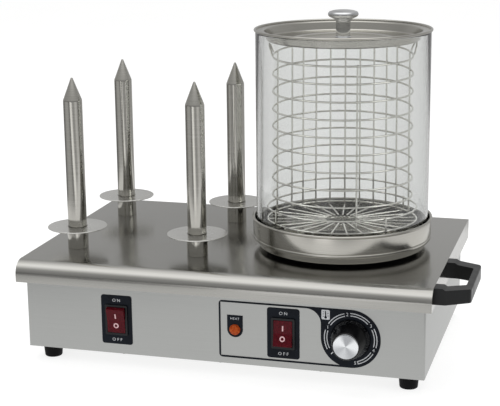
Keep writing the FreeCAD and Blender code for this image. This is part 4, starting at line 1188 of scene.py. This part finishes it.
@dataclass
class Steamer:
    """Water pan, glass cylinder, lid and wire basket."""

    palette: Palette
    wires: WireKit
    sheet: float = 1.0
    pan_radius: float = 104.0
    pan_step: float = 6.0
    pan_seat: float = 20.0
    pan_bead: float = 1.7
    skirt_height: float = 7.5
    groove_height: float = 4.4
    groove_depth: float = 0.55
    stud_radius: float = 2.5
    stud_tail: float = 1.5            # under its nut
    stud_rise: float = 0.2            # into the pan's sheet
    middle_reach: float = 5.0         # a stud nearer to the pan's line is the one in the well
    gasket_width: float = 8.3
    glass_wall: float = 4.0
    glass_round: float = 1.4
    lid_bead: float = 1.5
    lid_cup: float = 91.0
    lid_taper: float = 2.0
    lid_bore: float = 2.2
    lid_rib_inset: float = 30.0
    lid_rib_rise: float = 1.4
    lid_rib_half: float = 2.5
    grip_stem: float = 8.3
    grip_foot: float = 9.0
    wire: float = 1.1
    hoop_count: int = 9
    spoke_count: int = 27
    spoke_phase: float = 6.2                                                # degrees
    upright_runs: tuple[tuple[int, int], ...] = ((1, 1), (3, 9), (13, 1))   # (first spoke, how many)
    front_upright: float = -66.5                                            # degrees
    floor_ring: float = 21.0
    weld: float = 0.03
    leg_angle: float = 45.0

    def __post_init__(self) -> None:
        """Find the steamer's middle."""
        tube = cad("glass_cylinder")
        self.middle = (tube.x, tube.y)

    def studs(self, seat: float, floor: float) -> list[Object]:
        """Turn the studs that hold the pan, one over each of its nuts.

        Args:
            seat: height of the pan's seat.
            floor: height of its well's floor.

        Returns:
            The studs.
        """
        studs = []
        for nut in islands("pan_nuts"):
            foot = nut.low.z - self.stud_tail
            outer = math.dist((nut.x, nut.y), self.middle) > self.middle_reach
            top = (seat if outer else floor) + self.stud_rise
            studs.append(lathe("stud", rounded([
                (0, foot, 0), (self.stud_radius - 0.4, foot, 0.1), (self.stud_radius, foot + 0.5, 0.1),
                (self.stud_radius, top, 0), (0, top, 0)]), (nut.x, nut.y), steps=24, closed=False))
        return studs

    def pan(self) -> None:
        """Spin the pan: rolled rim, wall, ledge for the glass, skirt, seat and well, with its studs."""
        gasket = cad("pan_gasket")
        seat = gasket.high.z
        ledge = seat + self.skirt_height
        rim = cad("boiler_pan").high.z - self.pan_bead
        outer, skirt = self.pan_radius, self.pan_radius - self.pan_step
        well = skirt - self.pan_seat
        floor = cad("heating_element").high.z
        s = self.sheet
        groove = ledge + self.groove_height
        outline = rounded([
            (0, floor, 0), (well, floor, 5.0), (well, seat, 2.0), (skirt, seat, 1.2), (skirt, ledge, 1.6),
            (outer, ledge, 1.8), (outer, groove - 0.7, 0.3), (outer - self.groove_depth, groove, 0.4),
            (outer, groove + 0.7, 0.3), (outer, rim - self.pan_bead + 0.1, 0)])
        outline += bead((outer - s / 2, rim), self.pan_bead, -72, 252, 18)
        outline += rounded([
            (outer - s, rim - self.pan_bead, 0), (outer - s, ledge + s, 1.2), (skirt - s, ledge + s, 1.6),
            (skirt - s, seat + s, 1.2), (well - s, seat + s, 1.6), (well - s, floor + s, 4.2),
            (0, floor + s, 0)])
        shell = lathe("pan_shell", outline, self.middle, steps=160, closed=False)
        pan = merge("spun_water_pan", [shell, *self.studs(seat, floor)])
        install(pan, self.palette.pan, "boiler_pan")
        ring, low = gasket.radius, gasket.low.z
        inner = ring - self.gasket_width
        piece = lathe("pan_gasket_ring", rounded([
            (inner, low, 0.3), (ring, low, 0.3), (ring + 0.35, gasket.z, 1.6), (ring, seat, 0.3),
            (inner, seat, 0.3)], closed=True), self.middle, steps=128)
        install(piece, self.palette.rubber, "pan_gasket")

    def glass(self) -> None:
        """Make the tube with fire-polished ends."""
        box = cad("glass_cylinder")
        outer, inner, r = box.radius, box.radius - self.glass_wall, self.glass_round
        tube = lathe("glass_tube", rounded([
            (inner, box.low.z, r), (outer, box.low.z, r), (outer, box.high.z, r), (inner, box.high.z, r)],
            closed=True, steps=6), self.middle, steps=192, sharp=60)
        install(tube, self.palette.glass, "glass_cylinder")

    def lid(self) -> None:
        """Press the lid: rolled rim, flange, cup, and a ring bead in its floor."""
        box = cad("lid_pan")
        s = self.sheet
        floor = cad("lid_knob").low.z - s
        rim = box.radius - self.lid_bead
        flange = box.high.z - 2 * self.lid_bead
        cup, foot = self.lid_cup, self.lid_cup - self.lid_taper
        rib = foot - self.lid_rib_inset
        rise, half = self.lid_rib_rise, self.lid_rib_half
        under = [(self.lid_bore, floor, 0), (rib - half, floor, 1.5), (rib, floor + rise, 1.5),
                 (rib + half, floor, 1.5)]
        over = [(radius, height + s, size) for radius, height, size in reversed(under)]
        outline = rounded([*under, (foot, floor, 2.2), (cup, flange, 1.6), (rim - 1.0, flange, 0)])
        outline += bead((rim, flange + self.lid_bead), self.lid_bead, -90, 199, 16)
        outline += rounded([
            (rim - 2.4, flange + s, 0), (cup - s, flange + s, 1.6), (foot - s, floor + s, 2.0), *over])
        install(lathe("pressed_lid", outline, self.middle, steps=160), self.palette.pan, "lid_pan")

    def grip(self) -> None:
        """Turn the lid's mushroom knob."""
        knob = cad("lid_knob")
        top, base, cap = knob.high.z, knob.low.z, knob.radius
        stem, foot = self.grip_stem, self.grip_foot
        grip = lathe("lid_grip", rounded([
            (0, top, 0), (cap * 0.6, top - 0.3, 5.0), (cap - 1.4, top - 2.0, 3.0), (cap, top - 5.0, 2.6),
            (cap - 1.8, top - 7.8, 2.4), (11.6, top - 9.4, 2.2), (8.9, top - 11.6, 1.6),
            (stem, top - 14.0, 1.0), (stem, base + 3.2, 0.4), (foot, base + 2.6, 0.4), (foot, base, 0.5),
            (0, base, 0)], steps=7),
            self.middle, closed=False, sharp=50)
        install(grip, self.palette.chrome, "lid_knob")

    def hoops(self, name: str, radius: float, lowest: float, count: int = 1, pitch: float = 0.0) -> Object:
        """Grow a stack of level hoops.

        Args:
            name: the piece's name.
            radius: a hoop's radius in millimetres.
            lowest: height of the lowest one.
            count: how many.
            pitch: the step from one to the next.

        Returns:
            The hoops.
        """
        return self.wires.grow(name, self.wires.hoops, {
            "Hoop Radius": radius * MM, "Wire Radius": self.wire * MM, "Count": count, "Pitch": pitch * MM,
            "Lowest": at(*self.middle, lowest), "Material": self.palette.wire}, sharp=60)

    def rods(self, name: str, radius: float, length: float, level: float, first: float, step: float,
             count: int = 1, lean: float = 0.0) -> Object:
        """Grow wires set round a circle.

        Args:
            name: the piece's name.
            radius: the circle's radius in millimetres.
            length: a wire's length.
            level: height of its middle.
            first: where the first one stands, in degrees.
            step: the turn from one to the next, in degrees.
            count: how many.
            lean: how far they lean out, in degrees; spokes lie at 90.

        Returns:
            The wires.
        """
        return self.wires.grow(name, self.wires.fence, {
            "Circle Radius": radius * MM, "Wire Radius": self.wire * MM, "Count": count,
            "First Angle": math.radians(first), "Step": math.radians(step), "Length": length * MM,
            "Middle": at(*self.middle, level), "Lean": math.radians(lean), "Material": self.palette.wire})

    def basket(self) -> None:
        """Weld the basket: nine hoops, two wider base hoops, uprights, floor, legs and lifting loops."""
        stack, base, floor = cad("basket_hoops"), cad("basket_base_hoops"), cad("basket_floor")
        uprights, legs = cad("basket_uprights"), cad("basket_legs")
        wire, steel = self.wire, self.palette.wire
        hoop, wide = stack.radius - wire, base.radius - wire
        turn = 360 / self.spoke_count
        tall = stack.high.z - stack.low.z - 2 * wire
        install(self.hoops("basket_hoop_stack", hoop, stack.low.z + wire, self.hoop_count,
                           tall / (self.hoop_count - 1)), steel, "basket_hoops")
        install(self.hoops("basket_foot_hoops", wide, base.low.z + wire, 2,
                           base.high.z - base.low.z - 2 * wire), steel, "basket_base_hoops")
        inside = hoop - 2 * wire - self.weld
        runs = [(self.spoke_phase + turn * index, count) for index, count in self.upright_runs]
        runs.append((self.front_upright, 1))
        rise = uprights.high.z - uprights.low.z
        fences = [self.rods("upright_run", inside, rise, uprights.z, angle, turn, count)
                  for angle, count in runs]
        install(merge("basket_upright_wires", fences, 40), steel, "basket_uprights")
        inner = self.floor_ring - 2 * wire
        spokes = self.rods("spokes", (inner + wide) / 2, wide - inner, floor.high.z - wire, self.spoke_phase,
                           turn, self.spoke_count, 90)
        ring = self.hoops("floor_ring", self.floor_ring, floor.low.z + wire)
        install(merge("basket_floor_wires", [spokes, ring], 40), steel, "basket_floor")
        feet = self.rods("basket_leg_wires", wide + 2 * wire + self.weld, legs.high.z - legs.low.z, legs.z,
                         self.leg_angle, 90, 4)
        install(feet, steel, "basket_legs")
        dress("basket_loops", "lifting_loops", steel, 0)

    def build(self) -> None:
        """Build the whole steamer."""
        self.pan()
        self.glass()
        self.lid()
        self.grip()
        self.basket()


# The control panel

@dataclass
class ControlPanel:
    """Label plates, rocker switches, signal lamp, and the dial with its knob and printing."""

    palette: Palette
    ink_thickness: float = 0.05
    arc_outer: float = 29.0
    arc_inner: float = 26.2
    arc_width: float = 0.95
    # each arc's first and last degree, and each number's, counted from the right towards the top
    arcs: tuple[Point2, ...] = ((163, 208), (104, 148), (44, 91), (-16, 28), (-72, -31))
    number_angles: tuple[float, ...] = (155.6, 98.0, 36.5, -23.7, -79.0)
    end_tick: tuple[float, ...] = (27.6, -73.5, -71.6, 3.7)      # radius, first and last degree, height
    start_mark: tuple[float, ...] = (26.4, 220.0, 222.2, 4.4)
    number_radius: float = 27.7
    number_size: float = 5.4
    sign_place: Point2 = (-27.7, 25.5)      # from the dial's middle
    sign_size: Point2 = (9.3, 11.0)
    label_edge: float = 0.12
    plate_edge: float = 0.15
    body_edge: float = 0.45
    paddle_edge: float = 0.7
    switch_text: float = 5.0
    switch_spacing: tuple[float, float] = (1.5, 1.55)     # for ON and OFF
    switch_inset: tuple[float, float] = (6.2, 5.2)        # from the plate's top and from its bottom
    heat_text: float = 3.7
    heat_inset: float = 4.0
    rocker_tilt: float = 9.5
    rocker_pivot_depth: float = 2.0
    rocker_dip: float = 1.2
    rocker_crown: float = 2.4
    rocker_half: float = 14.4         # from the pivot to the rocker's end
    lens_dome: float = 3.0
    lens_flange: float = 1.5
    lens_share: float = 0.93          # the dome's radius over the flange's
    knob_depth: float = 14.0          # of the hollow in the knob's back
    knob_wall: float = 2.5
    knob_bore: float = 6.5

    def __post_init__(self) -> None:
        """Find the dial's middle and the two faces that are printed on."""
        shaft = cad("thermostat_shaft")
        self.dial = (shaft.x, shaft.z)
        self.face = cad("control_label").low.y
        self.plate_face = cad("left_switch_plate").low.y

    def stamp(self, builder: BMesh, outline: Sequence[Point2], face: float,
              hole: Sequence[Point2] = ()) -> None:
        """Add a thin printed shape that stands on an upright face.

        Args:
            builder: the bmesh to add to.
            outline: (x, z) points in millimetres.
            face: the y of the face it is printed on.
            hole: an inner outline with as many points.
        """
        depths = (face - self.ink_thickness, face + 0.01)
        rings = [[builder.verts.new(at(x, depth, z)) for x, z in points]
                 for points in (outline, hole) if points for depth in depths]
        if hole:
            pairs = [(rings[a], rings[b]) for a, b in ((0, 1), (2, 3), (0, 2), (1, 3))]
        else:
            pairs = [rings]
            for ring in rings:
                builder.faces.new(ring)
        for one, two in pairs:
            for here in range(len(one)):
                there = (here + 1) % len(one)
                builder.faces.new((one[here], one[there], two[there], two[here]))

    def band(self, radius: float, first: float, last: float, width: float) -> list[Point2]:
        """Give the outline of an arc of a given width round the dial.

        Args:
            radius: the arc's middle radius.
            first: start angle in degrees.
            last: end angle in degrees.
            width: the line's width.

        Returns:
            Its (x, z) outline.
        """
        points = bead(self.dial, radius + width / 2, first, last, 12)
        return points + bead(self.dial, radius - width / 2, last, first, 12)

    def text(self, words: str, x: float, z: float, face: float, size: float, spacing: float = 1.0,
             broad: float = 1.0) -> Object:
        """Set a few printed letters or numbers on an upright face.

        Args:
            words: what is printed.
            x: the middle's distance to the right.
            z: the middle's height.
            face: the y of the face.
            size: the letters' type size in millimetres.
            spacing: the gap between letters, where 1 is plain.
            broad: width of the letters against plain ones.

        Returns:
            The letters, as mesh.
        """
        curve = bpy.data.curves.new("print_" + words, "FONT")
        curve.body = words
        curve.size = size * MM
        curve.space_character = spacing
        curve.align_x = "CENTER"
        curve.align_y = "CENTER"
        curve.extrude = self.ink_thickness / 2 * MM
        curve.resolution_u = 4
        holder = bpy.data.objects.new("print_" + words, curve)
        bpy.context.scene.collection.objects.link(holder)
        bpy.context.view_layer.update()
        graph = bpy.context.evaluated_depsgraph_get()
        mesh = bpy.data.meshes.new_from_object(holder.evaluated_get(graph), depsgraph=graph)
        bpy.data.objects.remove(holder)
        mesh.transform(Matrix.Translation(at(x, face - self.ink_thickness / 2, z))
                       @ Matrix.Rotation(math.pi / 2, 4, "X") @ Matrix.Diagonal((broad, 1, 1, 1)))
        mesh.shade_flat()
        return new_object("print_" + words, mesh)

    def label(self) -> None:
        """Dress the outlined label and print its dial: arcs, start mark and numbers."""
        dress("control_label", "dial_label", self.palette.film, self.label_edge, 2)
        builder = bmesh.new()
        for first, last in self.arcs:
            for radius in (self.arc_outer, self.arc_inner):
                self.stamp(builder, self.band(radius, first, last, self.arc_width), self.face)
        for mark in (self.end_tick, self.start_mark):
            self.stamp(builder, self.band(*mark), self.face)
        marks = [close("dial_arcs", builder)]
        for number, angle in enumerate(self.number_angles, 1):
            x, z = bead(self.dial, self.number_radius, angle, angle, 1)[0]
            marks.append(self.text(str(number), x, z, self.face, self.number_size))
        attach(merge("dial_printing", marks), self.palette.ink)

    @staticmethod
    def box_outline(x: float, z: float, width: float, height: float, corner: float) -> list[Point2]:
        """Give the outline of an upright rounded box about its middle.

        Args:
            x: the middle's distance to the right.
            z: the middle's height.
            width: the box's width.
            height: its height.
            corner: its corners' rounding.

        Returns:
            The outline.
        """
        half_w, half_h = width / 2, height / 2
        return rounded([
            (x - half_w, z - half_h, corner), (x + half_w, z - half_h, corner),
            (x + half_w, z + half_h, corner), (x - half_w, z + half_h, corner)], closed=True)

    def thermometer(self) -> None:
        """Print the plain thermometer sign at the dial's upper left."""
        x, z = self.dial[0] + self.sign_place[0], self.dial[1] + self.sign_place[1]
        builder = bmesh.new()
        self.stamp(builder, self.box_outline(x, z, *self.sign_size, 1.6), self.face)
        attach(close("sign_tile", builder), self.palette.ink)
        builder = bmesh.new()
        top = self.face - self.ink_thickness + 0.01
        self.stamp(builder, self.box_outline(x, z + 0.9, 1.3, 6.6, 0.6), top)
        self.stamp(builder, bead((x, z - 3.0), 1.5, 0, 345, 23), top)
        for side in (-2.6, 2.6):
            for row in range(4):
                self.stamp(builder, self.box_outline(x + side, z + 3.3 - 1.8 * row, 1.5, 0.55, 0.1), top)
        attach(close("thermometer_sign", builder), self.palette.film)

    def switches(self) -> None:
        """Dress the switch plates, bodies and rockers, and print ON, OFF, I and O."""
        for side, tilt in (("left", self.rocker_tilt), ("right", -self.rocker_tilt)):
            plate = cad(side + "_switch_plate")
            dress(side + "_switch_plate", side + "_label_plate", self.palette.film, self.plate_edge, 2)
            dress(side + "_switch_housing", side + "_switch_body", self.palette.black, self.body_edge)
            dress(side + "_rocker", side + "_rocker_paddle", self.palette.red, self.paddle_edge)
            heights = (plate.high.z - self.switch_inset[0], plate.low.z + self.switch_inset[1])
            words = [self.text(word, plate.x, height, self.plate_face, self.switch_text, spacing, 1.05)
                     for word, height, spacing in zip(("ON", "OFF"), heights, self.switch_spacing)]
            attach(merge(side + "_switch_words", words), self.palette.ink)
            self.rocker_marks(side, plate.x, plate.z, tilt)

    def rocker_marks(self, side: str, x: float, z: float, tilt: float) -> None:
        """Print the bar and the ring on the two slopes of a rocker.

        Args:
            side: left or right.
            x: the rocker's middle.
            z: its pivot's height.
            tilt: how far it stands tipped, in degrees.
        """
        front = cad(side + "_switch_housing").low.y
        hinge = at(x, front + self.rocker_pivot_depth, z)
        rise = (self.rocker_crown - self.rocker_dip) / self.rocker_half
        tipped = Matrix.Rotation(math.radians(tilt), 4, "X")
        tip = Matrix.Translation(hinge) @ tipped @ Matrix.Translation(-hinge)
        ring = bead((0, 0), 3.1, 0, 348, 29)
        marks = []
        for name, height, outline, hole in (
                ("bar", 5.9, self.box_outline(0, 0, 1.5, 6.0, 0.3), []),
                ("ring", -5.8, ring, [(a * 0.55, b * 0.55) for a, b in ring])):
            builder = bmesh.new()
            self.stamp(builder, outline, 0, hole)
            mark = close(name, builder)
            lean = math.copysign(math.atan(rise), height)
            place = at(x, front - self.rocker_dip - rise * abs(height), z + height)
            mark.data.transform(tip @ Matrix.Translation(place) @ Matrix.Rotation(lean, 4, "X")
                                @ Matrix.Translation(-at(0, 0, 0)))
            marks.append(mark)
        attach(merge(side + "_rocker_marks", marks), self.palette.pink, side + "_rocker")

    def lamp(self) -> None:
        """Dress the lamp's plate, turn its lens and print HEAT."""
        plate, lens = cad("lamp_plate"), cad("lamp_lens")
        dress("lamp_plate", "lamp_label_plate", self.palette.film, self.plate_edge, 2)
        radius, front = lens.radius, lens.low.y
        flange = front + self.lens_dome
        slopes = [step * math.pi / 16 for step in range(1, 9)]
        dome = [(radius * self.lens_share * math.sin(slope), flange - self.lens_dome * math.cos(slope))
                for slope in slopes]
        piece = lathe("lamp_lens_dome", [
            (0.0, front), *dome, (radius, flange + 0.15), (radius, flange + self.lens_flange),
            (0.0, flange + self.lens_flange)], (lens.x, lens.z), Turning.FORWARD, 64, closed=False, sharp=50)
        install(piece, self.palette.amber, "lamp_lens")
        words = self.text("HEAT", lens.x, plate.high.z - self.heat_inset, plate.low.y, self.heat_text, 1.25)
        attach(words, self.palette.ink)

    def knob(self) -> None:
        """Turn the dial's knob and its spun metal cap."""
        box, face = cad("knob_body"), cad("knob_face")
        front, back, base, cap = box.low.y, box.high.y, box.radius, face.radius
        rim, recess = cap + 1.2, front + 1.0
        cavity = back - self.knob_depth
        wall = base - self.knob_wall - (base - rim) / (back - front) * self.knob_depth
        body = lathe("dial_knob", rounded([
            (0, recess, 0), (cap + 0.06, recess, 0), (cap + 0.06, front, 0.15), (rim, front, 0.9),
            (base - 0.6, back - 2.4, 0.8), (base, back - 0.6, 0.7), (base - 0.4, back, 0.3),
            (base - self.knob_wall, back, 0.4), (wall, cavity, 0.8), (self.knob_bore, cavity, 0.8),
            (self.knob_bore, back - 2.0, 0.3), (0, back - 2.0, 0)]),
            self.dial, Turning.FORWARD, steps=128, closed=False)
        install(body, self.palette.knob, "knob_body")
        near, far = face.low.y, face.high.y
        disc = lathe("knob_cap", rounded([
            (0, near + 0.35, 0), (cap * 0.5, near + 0.28, 1.0), (cap - 1.0, near, 0.6),
            (cap, near + 0.5, 0.4), (cap, far, 0.1), (0, far, 0)]),
            self.dial, Turning.FORWARD, steps=128, closed=False)
        install(disc, self.palette.aluminium, "knob_face")

    def build(self) -> None:
        """Build the whole panel."""
        self.label()
        self.thermometer()
        self.switches()
        self.lamp()
        self.knob()


# Floor, light and camera

class Lamp(Enum):
    """The studio's soft boxes: place and size in metres, and power in watts. Metal mirrors none of them."""

    OVERHEAD = ((-0.2, 0.35, 1.9), (2.4, 1.6), 20.0)
    FRONT_LEFT = ((-1.7, -1.5, 1.3), (1.2, 1.4), 9.0)
    RIGHT = ((2.1, -0.5, 1.1), (1.2, 1.4), 11.0)


class Ray(Enum):
    """How bright the white surround is for the rays that metal doesn't mirror."""

    CAMERA = 1.0
    TRANSMISSION = 1.0
    DIFFUSE = 0.62


@dataclass
class Studio:
    """White floor and surround with grey bands for metal to mirror, soft boxes, the photograph's camera."""

    middle: Point2
    camera_place: Corner = (428.318, -1517.604, 549.437)   # mm
    yaw: float = 0.277482                                  # radians, as are pitch and roll
    pitch: float = 0.238733
    roll: float = -0.0101808
    focal_pixels: float = 1359.457
    picture_width: int = 500
    sensor: float = 36.0
    aim_height: float = 0.15       # metres; where the soft boxes point
    floor_size: float = 12.0
    floor_share: float = 0.62
    floor_white: float = 1.25      # makes up for the floor's shaded share
    plain_floor: float = 0.98
    plain_radius: Point2 = (0.58, 0.68)
    plain_width: float = 0.75
    facing: Point2 = (0.25, -0.15)   # a direction's Y where the front sky starts and where it is full
    ramp_top: float = 2.5          # level that full white on a colour ramp stands for
    bands: tuple[Point2, ...] = (      # of the floor: azimuth in degrees and grey level, as in sky
        (-180, 0.34), (-168, 0.5), (-150, 0.58), (-128, 0.5), (-119, 0.2), (-113, 0.36), (-108, 1.3),
        (-95, 1.4), (-85, 0.62), (-72, 0.42), (-58, 0.6), (-44, 0.85), (-22, 0.62), (-8, 0.26), (12, 0.24),
        (24, 0.55), (60, 0.5), (100, 0.56), (140, 0.42), (168, 0.16))
    sky: tuple[Point2, ...] = (
        (-180, 0.42), (0, 0.42), (80, 0.52), (98, 0.54), (107, 0.44), (116, 0.52), (140, 0.52))
    rear_heights: tuple[Point2, ...] = (   # a direction's Z and grey level, as in front_heights
        (-1.0, 1.0), (0.12, 0.95), (0.24, 1.04), (0.6, 1.05), (0.78, 1.4), (0.9, 2.4), (1.0, 3.3))
    front_heights: tuple[Point2, ...] = (
        (-1.0, 0.2), (0.02, 0.2), (0.12, 0.32), (0.3, 0.44), (0.5, 0.5), (0.68, 0.9), (0.85, 1.8), (1.0, 1.6))

    def camera(self) -> None:
        """Set the camera where the photograph was taken from, without shift."""
        data = bpy.data.cameras.new("photo_camera")
        data.sensor_fit = "HORIZONTAL"
        data.sensor_width = self.sensor
        data.lens = self.focal_pixels * self.sensor / self.picture_width
        data.clip_start, data.clip_end = 0.05, 50.0
        level = math.cos(self.pitch)
        back = Vector((math.sin(self.yaw) * level, -math.cos(self.yaw) * level, math.sin(self.pitch)))
        right = (-back).cross(Vector((0, 0, 1))).normalized()
        up = right.cross(-back)
        cos, sin = math.cos(self.roll), math.sin(self.roll)
        across, over = right * cos + up * sin, up * cos - right * sin
        camera = bpy.data.objects.new("photo_camera", data)
        turn = Matrix((across, over, back)).transposed().to_4x4()
        camera.matrix_world = Matrix.Translation(at(*self.camera_place)) @ turn
        bpy.context.scene.collection.objects.link(camera)
        bpy.context.scene.camera = camera

    def ramp(self, tree: Tree, value: Socket | bpy.types.Node, stops: Sequence[Point2], low: float = -1.0,
             high: float = 1.0) -> bpy.types.Node:
        """Look a value up in a list of grey levels.

        Args:
            tree: the node tree.
            value: the value.
            stops: (value, level) pairs in order.
            low: the value at the ramp's start.
            high: the value at its end.

        Returns:
            The level.
        """
        scaled = add_node(tree, "ShaderNodeMapRange", {"Value": value, "From Min": low, "From Max": high})
        node = add_node(tree, "ShaderNodeValToRGB", {0: scaled})
        elements = node.color_ramp.elements
        while len(elements) < len(stops):
            elements.new(1.0)
        for element, (place, level) in zip(elements, stops):
            element.position = (place - low) / (high - low)
            element.color = (*[level / self.ramp_top] * 3, 1.0)
        return add_node(tree, "ShaderNodeMath", {0: node, 1: self.ramp_top}, operation="MULTIPLY")

    def compass(self, tree: Tree, parts: Outputs, stops: Sequence[Point2]) -> bpy.types.Node:
        """Give the grey level for a direction round the steamer.

        Args:
            tree: the node tree.
            parts: the direction's X, Y and Z.
            stops: (azimuth in degrees, level) pairs in order, from -180.

        Returns:
            The level.
        """
        turn = add_node(tree, "ShaderNodeMath", {0: parts["Y"], 1: parts["X"]}, operation="ARCTAN2")
        levels = [(math.radians(azimuth), level) for azimuth, level in (*stops, (180, stops[0][1]))]
        return self.ramp(tree, turn, levels, -math.pi, math.pi)

    @staticmethod
    def strength(tree: Tree, mirrored: bpy.types.Node, white: float = 1.0) -> Socket | float:
        """Pick the surround's brightness by the kind of ray.

        Args:
            tree: the node tree.
            mirrored: the level that metal mirrors.
            white: what makes this surface show white.

        Returns:
            The strength.
        """
        path = add_node(tree, "ShaderNodeLightPath").outputs
        level: Socket | float = Ray.DIFFUSE.value
        for kind, value in (("Is Glossy Ray", mirrored), ("Is Transmission Ray", Ray.TRANSMISSION.value),
                            ("Is Camera Ray", Ray.CAMERA.value * white)):
            level = add_node(tree, "ShaderNodeMix", {0: path[kind], 2: level, 3: value}).outputs[0]
        return level

    def floor(self) -> None:
        """Lay a large pale floor that shows white and still keeps the object's shadow."""
        builder = bmesh.new()
        bmesh.ops.create_grid(builder, x_segments=8, y_segments=8, size=self.floor_size)
        floor = close("studio_floor", builder, mend=False)
        paper = Finish("white_floor", "#F2F2F1", "#F6F6F5", 0.9)
        material, tree = blank_material(paper.name)
        add = partial(add_node, tree)
        place = add("ShaderNodeTexCoord").outputs["Object"]
        cloud = add("ShaderNodeTexNoise", {"Vector": place, "Scale": 3.0})
        matt = add("ShaderNodeBsdfPrincipled", {
            "Base Color": paper.tint(tree, cloud), "Roughness": paper.roughness, "Specular IOR Level": 0.1})
        moved = add("ShaderNodeMapping", {"Vector": place, "Location": -at(*self.middle, 0)})
        parts = add("ShaderNodeSeparateXYZ", {0: moved}).outputs
        narrow = add("ShaderNodeMapping", {"Vector": place, "Scale": (self.plain_width, 1.0, 1.0)})
        away = add("ShaderNodeVectorMath", {0: narrow}, operation="LENGTH").outputs["Value"]
        near, far = self.plain_radius
        reach = add("ShaderNodeMapRange", {
            "Value": away, "From Min": near, "From Max": far}, interpolation_type="SMOOTHSTEP")
        mirrored = add("ShaderNodeMix", {
            0: reach, 2: self.plain_floor, 3: self.compass(tree, parts, self.bands)})
        white = add("ShaderNodeEmission", {
            "Color": (1, 1, 1, 1), "Strength": self.strength(tree, mirrored, self.floor_white)})
        path = add("ShaderNodeLightPath").outputs
        other = add("ShaderNodeMath", {
            0: path["Is Glossy Ray"], 1: path["Is Transmission Ray"]}, operation="MAXIMUM")
        share = add("ShaderNodeMath", {
            0: path["Is Camera Ray"], 1: self.floor_share, 2: other}, operation="MULTIPLY_ADD")
        surface = add("ShaderNodeMixShader", {0: share, 1: matt, 2: white})
        add("ShaderNodeOutputMaterial", {"Surface": surface})
        paint(floor, material)

    def world(self) -> None:
        """Surround the object with white, which metal mirrors as grey bands that are brightest overhead."""
        world = bpy.data.worlds.new("white_sweep")
        world.use_nodes = True
        tree = world.node_tree
        tree.nodes.clear()
        add = partial(add_node, tree)
        direction = add("ShaderNodeTexCoord").outputs["Generated"]
        parts = add("ShaderNodeSeparateXYZ", {0: direction}).outputs
        rear = add("ShaderNodeMath", {
            0: self.compass(tree, parts, self.sky), 1: self.ramp(tree, parts["Z"], self.rear_heights)},
            operation="MULTIPLY")
        start, full = self.facing
        forward = add("ShaderNodeMapRange", {
            "Value": parts["Y"], "From Min": start, "From Max": full}, interpolation_type="SMOOTHSTEP")
        mirrored = add("ShaderNodeMix", {
            0: forward, 2: rear, 3: self.ramp(tree, parts["Z"], self.front_heights)})
        light = add("ShaderNodeBackground", {
            "Color": (1, 1, 1, 1), "Strength": self.strength(tree, mirrored)})
        add("ShaderNodeOutputWorld", {"Surface": light})
        bpy.context.scene.world = world

    def lamps(self) -> None:
        """Hang the soft boxes and aim them at the object."""
        for lamp in Lamp:
            place, size, power = lamp.value
            data = bpy.data.lights.new("soft_box_" + lamp.name.lower(), "AREA")
            data.shape = "RECTANGLE"
            data.size, data.size_y = size
            data.energy = power
            box = bpy.data.objects.new(data.name, data)
            box.location = place
            aim = Vector((0, 0, self.aim_height)) - Vector(place)
            box.rotation_euler = aim.to_track_quat("-Z", "Y").to_euler()
            box.visible_camera = False
            box.visible_glossy = False
            bpy.context.scene.collection.objects.link(box)

    def build(self) -> None:
        """Build the studio."""
        self.camera()
        self.floor()
        self.world()
        self.lamps()
        bpy.context.scene.view_settings.view_transform = "Standard"


def dress_inner_nodes(palette: Palette) -> None:
    """Give every CAD node that stays its own finish.

    Args:
        palette: the object's materials.
    """
    for name, node in frame["nodes"].items():
        material = palette.for_node(name)
        for place in node.material_slots:
            place.material = material
        if not node.material_slots:
            log.warning("%s has no material slot", name)


def main() -> None:
    """Build the object and the studio in order."""
    logging.basicConfig(level=logging.INFO, format="%(name)s: %(message)s")
    tube, shaft = cad("glass_cylinder"), cad("thermostat_shaft")
    palette = Palette((tube.x, tube.y), (shaft.x, shaft.z))
    wires = WireKit()
    dress_inner_nodes(palette)
    Studio((tube.x, tube.y)).build()
    Housing(palette, wires).build()
    SpikeSet(palette).build()
    Steamer(palette, wires).build()
    ControlPanel(palette).build()


if __name__ == "__main__":
    main()
